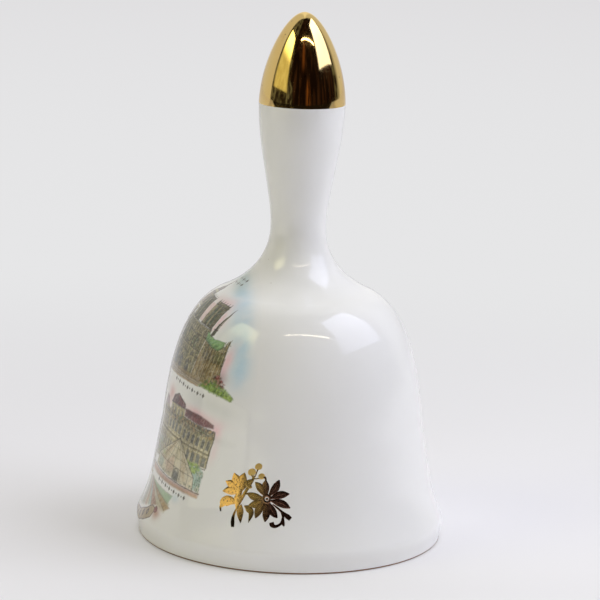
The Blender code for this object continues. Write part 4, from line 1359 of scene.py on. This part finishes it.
def build_print():
    sheet = Sheet()
    paint_sky(sheet)
    paint_column(sheet)
    paint_castle(sheet)
    paint_mill(sheet)
    paint_palace(sheet)
    paint_church(sheet)
    paint_label(sheet)
    for place in ((-56.0, 41.3, 8.0, 3), (-57.5, 15.2, 8.0, 5), (-113.0, 37.6, -8.0, 7),
                  (-113.0, 14.6, -8.0, 9), (-71.5, 73.5, 0.0, 11, 2), (-71.5, 71.8, 0.0, 13, 2)):
        paint_flourish(sheet, *place)
    sheet.engrave()
    material = glaze_material("fired_colours", inked=True)
    height, width = sheet.cover.shape
    half_up, half_across = height // 2, width // 2
    for name, rows, cols in (
        ("print_lower_left", slice(0, half_up + 1), slice(0, half_across + 1)),
        ("print_lower_right", slice(0, half_up + 1), slice(half_across, width)),
        ("print_upper_left", slice(half_up, height), slice(0, half_across + 1)),
        ("print_upper_right", slice(half_up, height), slice(half_across, width)),
    ):
        tile = print_tile(name, sheet, rows, cols, material)
        fit_piece(tile, "bell", "view_transfer")


# --------------------------------------------------------------------------- gold sprig

SPRIG_AZIMUTH = -9.08
SPRIG_REACH = 17.8
SPRIG_LIFT = 0.036
SPRIG_EDGE = 0.02
SPRIG_BACK = -0.02


def sprig_to_bell(points, lift):
    """Bell points from (x, y) in millimetres about the flower's eye."""
    points = np.asarray(points, float)
    reach = SPRIG_REACH + points[:, 1]
    radius = outline_at(reach)[0]
    azimuth = SPRIG_AZIMUTH + np.degrees(points[:, 0] / radius)
    return on_bell(azimuth, reach, np.broadcast_to(lift, len(points))) / MM


def smooth_path(knots, count):
    """A smooth curve through the knots."""
    knots = np.asarray(knots, float)
    padded = np.concatenate([[2 * knots[0] - knots[1]], knots, [2 * knots[-1] - knots[-2]]])
    out = []
    for u in np.linspace(0, len(knots) - 1, count):
        i = min(int(u), len(knots) - 2)
        t = u - i
        p0, p1, p2, p3 = padded[i : i + 4]
        out.append(
            0.5
            * (
                2 * p1
                + (p2 - p0) * t
                + (2 * p0 - 5 * p1 + 4 * p2 - p3) * t * t
                + (3 * p1 - p0 - 3 * p2 + p3) * t**3
            )
        )
    return np.array(out)


def gilt_stroke(knots, half_widths, lift=SPRIG_LIFT, count=26, crease=0.0):
    """A closed, slightly domed stroke of gold along a path."""
    path = smooth_path(knots, count)
    spots = np.linspace(0, 1, len(half_widths))
    half = np.interp(np.linspace(0, 1, count), spots, half_widths)
    along = np.gradient(path, axis=0)
    along /= np.linalg.norm(along, axis=1, keepdims=True)
    side = np.stack([along[:, 1], -along[:, 0]], 1)
    lanes = np.array((-1.0, -0.7, -0.4, 0.0, 0.4, 0.7, 1.0))
    rise = np.array((0.0, 0.7, 1.0, 1.0 - crease, 1.0, 0.7, 0.0))
    top = []
    for lane, up in zip(lanes, rise):
        top.append(sprig_to_bell(path + side * (half * lane)[:, None],
                                 SPRIG_EDGE + (lift - SPRIG_EDGE) * up))
    bottom = [
        sprig_to_bell(path + side * (half * lane)[:, None], SPRIG_BACK) for lane in lanes[::-1]
    ]
    ring = np.stack(top + bottom, 1)
    stations, width = ring.shape[:2]
    faces = []
    for k in range(stations - 1):
        for i in range(width):
            j = (i + 1) % width
            a, b = k * width, (k + 1) * width
            faces.append((a + i, b + i, b + j, a + j))
    faces.append(tuple(range(width)))
    faces.append(tuple(range((stations - 1) * width, stations * width))[::-1])
    return ring.reshape(-1, 3), faces


def gilt_dot(centre, radius, lift=SPRIG_LIFT, squash=1.0, turn=0.0):
    reach = np.array((math.cos(turn), math.sin(turn))) * radius
    ends = [np.array(centre) - reach, np.array(centre), np.array(centre) + reach]
    profile = radius * squash * np.sqrt(np.clip(1 - np.linspace(-0.98, 0.98, 13) ** 2, 0, 1))
    return gilt_stroke(ends, profile, lift, 16)


PETAL_TIPS = ((5.44, 1.52), (2.81, 4.85), (-0.54, 4.63), (-3.1, 3.87), (-5.07, 0.97),
              (-4.47, -2.0), (-2.55, -4.88), (-0.1, -5.62), (2.84, -4.48), (5.84, -1.94))
PETAL_START = 0.16  # where a petal leaves the eye, as a share of its length
PETAL = (0.22, 0.48, 0.76, 0.92, 0.96, 0.84, 0.54, 0.12)
LEAF = (0.1, 0.45, 0.78, 0.92, 0.86, 0.66, 0.38, 0.06)
EYE_RING = 0.86


def build_sprig():
    """A daisy with buds, a half-open blossom, leaves and tendrils, in fired gold."""
    shapes = []

    def stroke(knots, widths, height=1.0, crease=0.0, count=26):
        shapes.append(gilt_stroke(knots, widths, SPRIG_LIFT * height, count, crease))

    for number, (x, y) in enumerate(PETAL_TIPS):
        bend = (0.28, -0.3, 0.16, -0.25, 0.3)[number % 5]
        length = math.hypot(x, y)
        sideways = (-y / length * bend, x / length * bend)
        knots = [(x * t + sideways[0] * b, y * t + sideways[1] * b)
                 for t, b in ((PETAL_START, 0.0), (0.58, 1.0), (1.0, 0.0))]
        stroke(knots, PETAL, 1.0 + 0.12 * (number % 2), 0.3)
        vein = [(x * t + sideways[0] * b, y * t + sideways[1] * b)
                for t, b in ((0.3, 0.5), (0.58, 1.0), (0.86, 0.4))]
        stroke(vein, (0.03, 0.07, 0.03), 1.5, 0.0, 10)
    ring = [(EYE_RING * math.cos(a), EYE_RING * math.sin(a)) for a in np.linspace(0, math.tau, 15)]
    stroke(ring, (0.36, 0.36), 1.5, 0.0, 40)
    shapes.append(gilt_dot((0.05, -0.05), 0.36, SPRIG_LIFT * 1.4))

    heart = (-7.3, 1.0)
    blossom = (((-5.3, 4.1), 0.85), ((-5.9, 5.9), 1.15), ((-8.7, 5.5), 1.2), ((-10.9, 3.2), 1.1),
               ((-11.6, 0.6), 0.95))
    for number, ((x, y), width) in enumerate(blossom):
        middle = ((heart[0] + x) / 2 + 0.1, (heart[1] + y) / 2 + 0.3)
        widths = width * np.array((0.5, 0.8, 1.0, 1.15, 1.1, 0.85, 0.5, 0.06))
        stroke([heart, middle, (x, y)], widths, 1.1 + 0.15 * number, 0.2)
    stroke([(-7.2, 1.9), (-7.2, 0.2), (-7.3, -1.2), (-7.5, -3.3)],
           (1.3, 0.85, 0.8, 1.1, 1.05, 0.6, 0.25), 1.9)
    stroke([(-7.9, -1.6), (-9.6, -1.4), (-11.1, -2.1), (-11.7, -3.2)],
           (0.5, 1.0, 1.25, 1.2, 0.85, 0.35), 1.3)
    stroke([(-11.5, -2.4), (-11.9, -3.3), (-11.75, -4.4)], (0.3, 0.34, 0.3, 0.2), 1.0)
    stroke([(-6.35, -1.9), (-6.55, -4.0), (-6.2, -6.5)], LEAF, 1.1, 0.3)
    stroke([(-5.6, -2.2), (-4.6, -2.7), (-3.7, -3.8), (-4.2, -6.2)], np.array(LEAF) * 0.95,
           1.2, 0.3)
    stroke([(-7.6, -3.2), (-8.1, -4.6), (-8.3, -5.9), (-8.2, -7.7)],
           (0.2, 0.28, 0.34, 0.42, 0.5, 0.4))
    stroke([(-3.4, 5.4), (-3.9, 4.1), (-4.86, 2.34), (-5.87, 0.38), (-6.45, -0.91)],
           (0.24, 0.36, 0.4, 0.4, 0.36))
    stroke([(-3.7, 4.2), (-4.6, 3.9), (-5.2, 3.3), (-4.6, 2.5), (-3.9, 2.7)],
           (0.34, 0.5, 0.44, 0.3), 1.3)
    stroke([(-5.9, 0.5), (-5.0, 0.75), (-4.0, 0.6)], (0.14, 0.2, 0.14))
    buds = []
    for x, y, size, foot in ((-2.48, 7.7, 0.95, (-3.2, 5.2)), (-4.1, 6.2, 1.05, (-3.7, 4.6)),
                             (-1.6, 5.4, 0.85, (-3.4, 4.6))):
        buds.append(gilt_dot((x, y), size, SPRIG_LIFT * 1.1, 0.84, 0.5))
        stroke([(x - 0.1, y - size * 0.5), foot], (0.16, 0.14))
    stroke([(-1.3, 5.3), (-0.7, 5.1), (-0.4, 4.3)], (0.3, 0.3, 0.16))
    stroke([(1.5, -1.2), (2.7, -2.0), (3.7, -2.8), (4.9, -3.7), (6.1, -4.6)],
           (0.14, 0.22, 0.26, 0.28, 0.4, 0.62, 0.5))
    stroke([(3.7, -2.8), (4.25, -4.3), (3.9, -5.7), (2.7, -6.5), (1.8, -6.3), (1.5, -5.6)],
           (0.2, 0.3, 0.34, 0.32, 0.42, 0.62, 0.55))
    stroke([(4.15, -4.4), (4.3, -5.4), (4.6, -6.4)], (0.26, 0.42, 0.4, 0.2))
    gold = gold_material("flower_gold", 0.17, 0.35, 0.9, (0.88, 0.56, 0.19), painted_dark_reflection=0.85,
                         specks=0.72, pits=1500.0)
    matt_gold = gold_material("bud_gold", 0.42, 0.3, 0.8, (0.90, 0.66, 0.24))
    for name, parts, material in (("gold_sprig", shapes, gold), ("gold_buds", buds, matt_gold)):
        verts, faces = join_shapes(parts)
        sprig = make_object(name, verts * MM, faces, material, 60.0)
        fit_piece(sprig, "bell", "flower_gilding")


# --------------------------------------------------------------------------- stage

CAMERA_PLACE = (0.0010, -0.6826, 0.2048)
CAMERA_PITCH = 11.958  # degrees below the horizon
CAMERA_ROLL = 1.804
CAMERA_LENS = 165.75
SENSOR = 36.0
AIM = Vector((0.0, 0.0, 0.08))  # what the lamps point at

BACKDROP = srgb(230, 230, 231)
BACKDROP_FAR = srgb(219, 217, 219)
FLOOR_PAINT = srgb(232, 231, 231)

# Radiance of each lamp and of each part of the room
SOFTBOX = (2.45, 2.55, 3.3)
WINDOW = (3.4, 3.2, 1.6)
TUBE = (11.5, 9.8, 7.6)
CARD = (0.92, 0.90, 0.66)
REAR = (1.07, 1.05, 1.15)
REAR_MIRRORED = (0.56, 0.55, 0.53)
REAR_GRAZED = (0.84, 0.83, 0.80)
SIDE = (0.117, 0.120, 0.100)
TOP = (0.65, 0.65, 0.72)
FILL = (1.1, 1.12, 1.32)
SIDE_FILL = (1.95, 1.97, 1.8)
MOUTH = (1.0, 1.0, 1.0)


def build_camera():
    data = bpy.data.cameras.new("camera")
    data.sensor_width = SENSOR
    data.lens = CAMERA_LENS
    camera = bpy.data.objects.new("camera", data)
    tilt = Matrix.Rotation(math.radians(90.0 - CAMERA_PITCH), 4, "X")
    roll = Matrix.Rotation(math.radians(CAMERA_ROLL), 4, "Z")
    camera.matrix_world = Matrix.Translation(CAMERA_PLACE) @ tilt @ roll
    bpy.context.scene.collection.objects.link(camera)
    bpy.context.scene.camera = camera


def area_lamp(name, centre, across, facing, size, radiance, mirrored):
    """A rectangular lamp, its centre given from AIM; facing is the way it shines."""
    strongest = max(radiance)
    data = bpy.data.lights.new(name, "AREA")
    data.shape = "RECTANGLE"
    data.size, data.size_y = size
    data.color = [c / max(strongest, 1e-6) for c in radiance]
    data.energy = strongest * math.pi * size[0] * size[1]
    lamp = bpy.data.objects.new(name, data)
    back = -Vector(facing).normalized()
    x = Vector(across)
    x = (x - back * x.dot(back)).normalized()
    y = back.cross(x)
    turn = Matrix((x, y, back)).transposed().to_4x4()
    lamp.matrix_world = Matrix.Translation(AIM + Vector(centre)) @ turn
    lamp.visible_camera = False
    lamp.visible_glossy = mirrored
    bpy.context.scene.collection.objects.link(lamp)
    return data


def shade_lamp(data, start, full, low, soft):
    """Makes a lamp rise from low to full strength between two heights, and softens its sides."""
    data.use_nodes = True
    nodes = Nodes(data.node_tree)
    spot = nodes.make("ShaderNodeNewGeometry").outputs["Parametric"]
    u, v, _ = nodes.make("ShaderNodeSeparateXYZ", {0: spot}).outputs
    rise = nodes.ramp(v, start, full, low, 1.0)
    sides = nodes.band(u, soft, 1.0 - soft, soft)
    strength = nodes.math("MULTIPLY", rise, sides)
    nodes.feed(data.node_tree.nodes["Emission"].inputs["Strength"], strength)


SOFTBOX_WAY = ((0.17, 0.97, -0.17), (-0.95, 0.12, -0.28))
SOFTBOX_SIZE = (0.664, 0.722)
UNDER_FLOOR = (0.0, 0.0, -0.006 - AIM.z)
LAMPS = (  # name, centre, way across, way it shines, size, radiance, mirrored, shading
    ("softbox", (0.509, -0.059, 0.615), *SOFTBOX_WAY, SOFTBOX_SIZE, SOFTBOX, True,
     (0.0, 0.7, 0.62, 0.06)),
    ("side_fill", (0.520, -0.060, 0.628), *SOFTBOX_WAY, SOFTBOX_SIZE, SIDE_FILL, False, ()),
    ("window", (-0.586, -0.264, 0.477), (0.34, -0.94, 0.02), (0.92, 0.33, 0.22), (0.544, 0.756),
     WINDOW, True, (0.3, 0.62, 0.16, 0.08)),
    ("tube", (0.18, -0.55, 0.735), (0.69, 0.10, -0.07), (-0.18, 0.60, -0.765), (0.70, 0.026),
     TUBE, True, ()),
    ("card", (-0.42, -0.216, -0.050), (0.53, -0.85, 0.0), (0.85, 0.53, 0.0), (0.42, 0.060),
     CARD, True, ()),
    ("card_edge", (-0.225, -0.435, -0.0285), (0.88, -0.47, 0.0), (0.47, 0.88, 0.0),
     (0.12, 0.016), CARD, True, ()),
    ("fill", (0.0, -0.95, 0.30), (1.0, 0.0, 0.0), (0.0, 0.95, -0.25), (0.9, 0.5), FILL, False,
     ()),
    ("mouth_glow", UNDER_FLOOR, (1.0, 0.0, 0.0), (0.0, 0.0, 1.0), (0.090, 0.090), MOUTH, False,
     ()),
)


def build_lamps():
    for *lamp, shading in LAMPS:
        data = area_lamp(*lamp)
        if shading:
            shade_lamp(data, *shading)


def build_world():
    """A plain room: what lights the bell, what its mirrors see and what the camera sees.

    The bounds are degrees of azimuth (0 towards the camera, positive to its right) and of
    elevation.
    """
    world = bpy.data.worlds.new("studio")
    bpy.context.scene.world = world
    world.use_nodes = True
    nodes = Nodes(world.node_tree)
    way = nodes.make("ShaderNodeTexCoord").outputs["Generated"]
    x, y, z = nodes.make("ShaderNodeSeparateXYZ", {0: way}).outputs
    azimuth = nodes.math("DEGREES", nodes.math("ARCTAN2", x, nodes.math("MULTIPLY", y, -1.0)))
    elevation = nodes.math("DEGREES", nodes.math("ARCSINE", z))
    aside = nodes.math("ABSOLUTE", azimuth)

    wide_room = nodes.mix(nodes.ramp(aside, 112.0, 128.0), SIDE, REAR)
    wide_room = nodes.mix(nodes.ramp(elevation, 62.0, 84.0), wide_room, TOP)
    hung = nodes.make("ShaderNodeMapping", {"Vector": way, "Scale": (9.0, 9.0, 1.3)})
    fold = nodes.ramp(nodes.noise(1.0, 4.0, hung.outputs[0]), 0.42, 0.75)
    cloth = nodes.mix(fold, (0.006, 0.003, 0.002), (0.036, 0.017, 0.012))
    patches = nodes.ramp(nodes.noise(9.0, 3.0, way), 0.42, 0.62)
    low_left = nodes.mix(patches, (0.015, 0.010, 0.006), SIDE)
    left_back = nodes.ramp(azimuth, -93.0, -96.0)
    right_back = nodes.ramp(azimuth, 108.0, 126.0)
    behind = nodes.math("MAXIMUM", left_back, right_back)
    mirrored = nodes.mix(behind, low_left, REAR_MIRRORED)
    mirrored = nodes.mix(nodes.ramp(aside, 150.0, 172.0), mirrored, REAR_GRAZED)
    low = nodes.ramp(elevation, 18.0, 10.0)
    edge = nodes.math("SUBTRACT", -37.0, nodes.math("MULTIPLY", low, -11.0))
    black = nodes.ramp(nodes.math("SUBTRACT", azimuth, edge), 0.0, -3.0)
    grey = nodes.ramp(azimuth, 96.0, 104.0)
    front = nodes.math("SUBTRACT", 1.0, nodes.math("MAXIMUM", black, grey))
    high_front = nodes.math("MULTIPLY", front, nodes.ramp(elevation, 84.0, 76.0))
    wide_room = nodes.mix(high_front, wide_room, cloth)
    front = nodes.math("MULTIPLY", front, nodes.ramp(elevation, 89.0, 87.0))
    mirrored = nodes.mix(front, mirrored, cloth)
    streak = nodes.math("MULTIPLY", nodes.band(azimuth, -4.0, 4.0, 4.0),
                        nodes.band(elevation, 28.0, 50.0, 6.0))
    mirrored = nodes.mix(nodes.math("MULTIPLY", streak, 0.9), mirrored, (0.13, 0.045, 0.015))
    ember = nodes.math("MULTIPLY", nodes.band(azimuth, 12.0, 20.0, 3.0),
                       nodes.band(elevation, -3.0, 16.0, 5.0))
    mirrored = nodes.mix(nodes.math("MULTIPLY", ember, fold), mirrored, (0.35, 0.12, 0.03))
    path = nodes.make("ShaderNodeLightPath")
    room = nodes.mix(path.outputs["Is Glossy Ray"], wide_room, mirrored)
    seen = nodes.mix(path.outputs["Is Camera Ray"], room, BACKDROP_FAR)
    nodes.feed(world.node_tree.nodes["Background"].inputs["Color"], seen)


FLOOR_RADIUS = 3.6
FLOOR_HOLE = FOOT_OUTER - 0.15  # an opening hidden under the foot, so that the inside can be lit


def build_floor():
    """A round pale floor with an opening under the bell, clear to a camera under it."""
    turns = np.linspace(0, math.tau, AROUND + 1)[:-1]
    ring = np.stack([np.cos(turns), np.sin(turns), np.zeros(AROUND)], 1)
    corners = np.concatenate([ring * FLOOR_HOLE * MM, ring * FLOOR_RADIUS])
    pairs = [(k, (k + 1) % AROUND) for k in range(AROUND)]
    sectors = [(k, k + AROUND, after + AROUND, after) for k, after in pairs]
    material = bpy.data.materials.new("pale_floor")
    material.use_nodes = True
    tree = material.node_tree
    tree.nodes.remove(tree.nodes["Principled BSDF"])
    nodes = Nodes(tree)
    place = nodes.make("ShaderNodeNewGeometry")
    spot = place.outputs["Position"]
    y = nodes.make("ShaderNodeSeparateXYZ", {0: spot}).outputs["Y"]
    distance = nodes.make("ShaderNodeVectorMath", {0: spot}, operation="LENGTH").outputs["Value"]
    path = nodes.make("ShaderNodeLightPath")
    camera = path.outputs["Is Camera Ray"]
    beyond = nodes.ramp(y, 0.1, 0.3, 0.0, 0.5)
    behind = nodes.math("MULTIPLY", path.outputs["Is Glossy Ray"], beyond)
    fine = nodes.ramp(nodes.noise(9.0, 3.0), 0.3, 0.7)
    paper = nodes.mix(fine, FLOOR_PAINT, np.array(FLOOR_PAINT) * 0.99)
    matt = nodes.make("ShaderNodeBsdfDiffuse", {"Color": paper}).outputs[0]
    glow_colour = nodes.mix(nodes.ramp(distance, 0.25, 2.4), BACKDROP, BACKDROP_FAR)
    glow = nodes.make("ShaderNodeEmission", {"Color": glow_colour}).outputs[0]
    fade = nodes.math("MULTIPLY", nodes.ramp(distance, 0.07, 0.34, 0.25, 1.0),
                      nodes.math("MAXIMUM", camera, behind))
    shown = nodes.make("ShaderNodeMixShader", {0: fade, 1: matt, 2: glow}).outputs[0]
    dark = nodes.make("ShaderNodeBsdfDiffuse", {"Color": (0.02, 0.015, 0.01, 1)}).outputs[0]
    unseen = nodes.math("SUBTRACT", 1.0, camera)
    front = nodes.math("MULTIPLY", nodes.ramp(y, -0.24, -0.32), unseen)
    shown = nodes.make("ShaderNodeMixShader", {0: front, 1: shown, 2: dark}).outputs[0]
    clear = nodes.make("ShaderNodeBsdfTransparent").outputs[0]
    under = nodes.math("MULTIPLY", place.outputs["Backfacing"], camera)
    shown = nodes.make("ShaderNodeMixShader", {0: under, 1: shown, 2: clear}).outputs[0]
    nodes.feed(tree.nodes["Material Output"].inputs["Surface"], shown)
    floor = make_object("floor", corners, sectors, material)
    floor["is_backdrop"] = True


build_porcelain()
build_clapper()
build_print()
build_sprig()
build_camera()
build_lamps()
build_world()
build_floor()
bpy.context.scene.view_settings.view_transform = "Standard"

boxes = (CAD_BOX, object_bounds())
[[list(corner) for corner in box] for box in boxes]
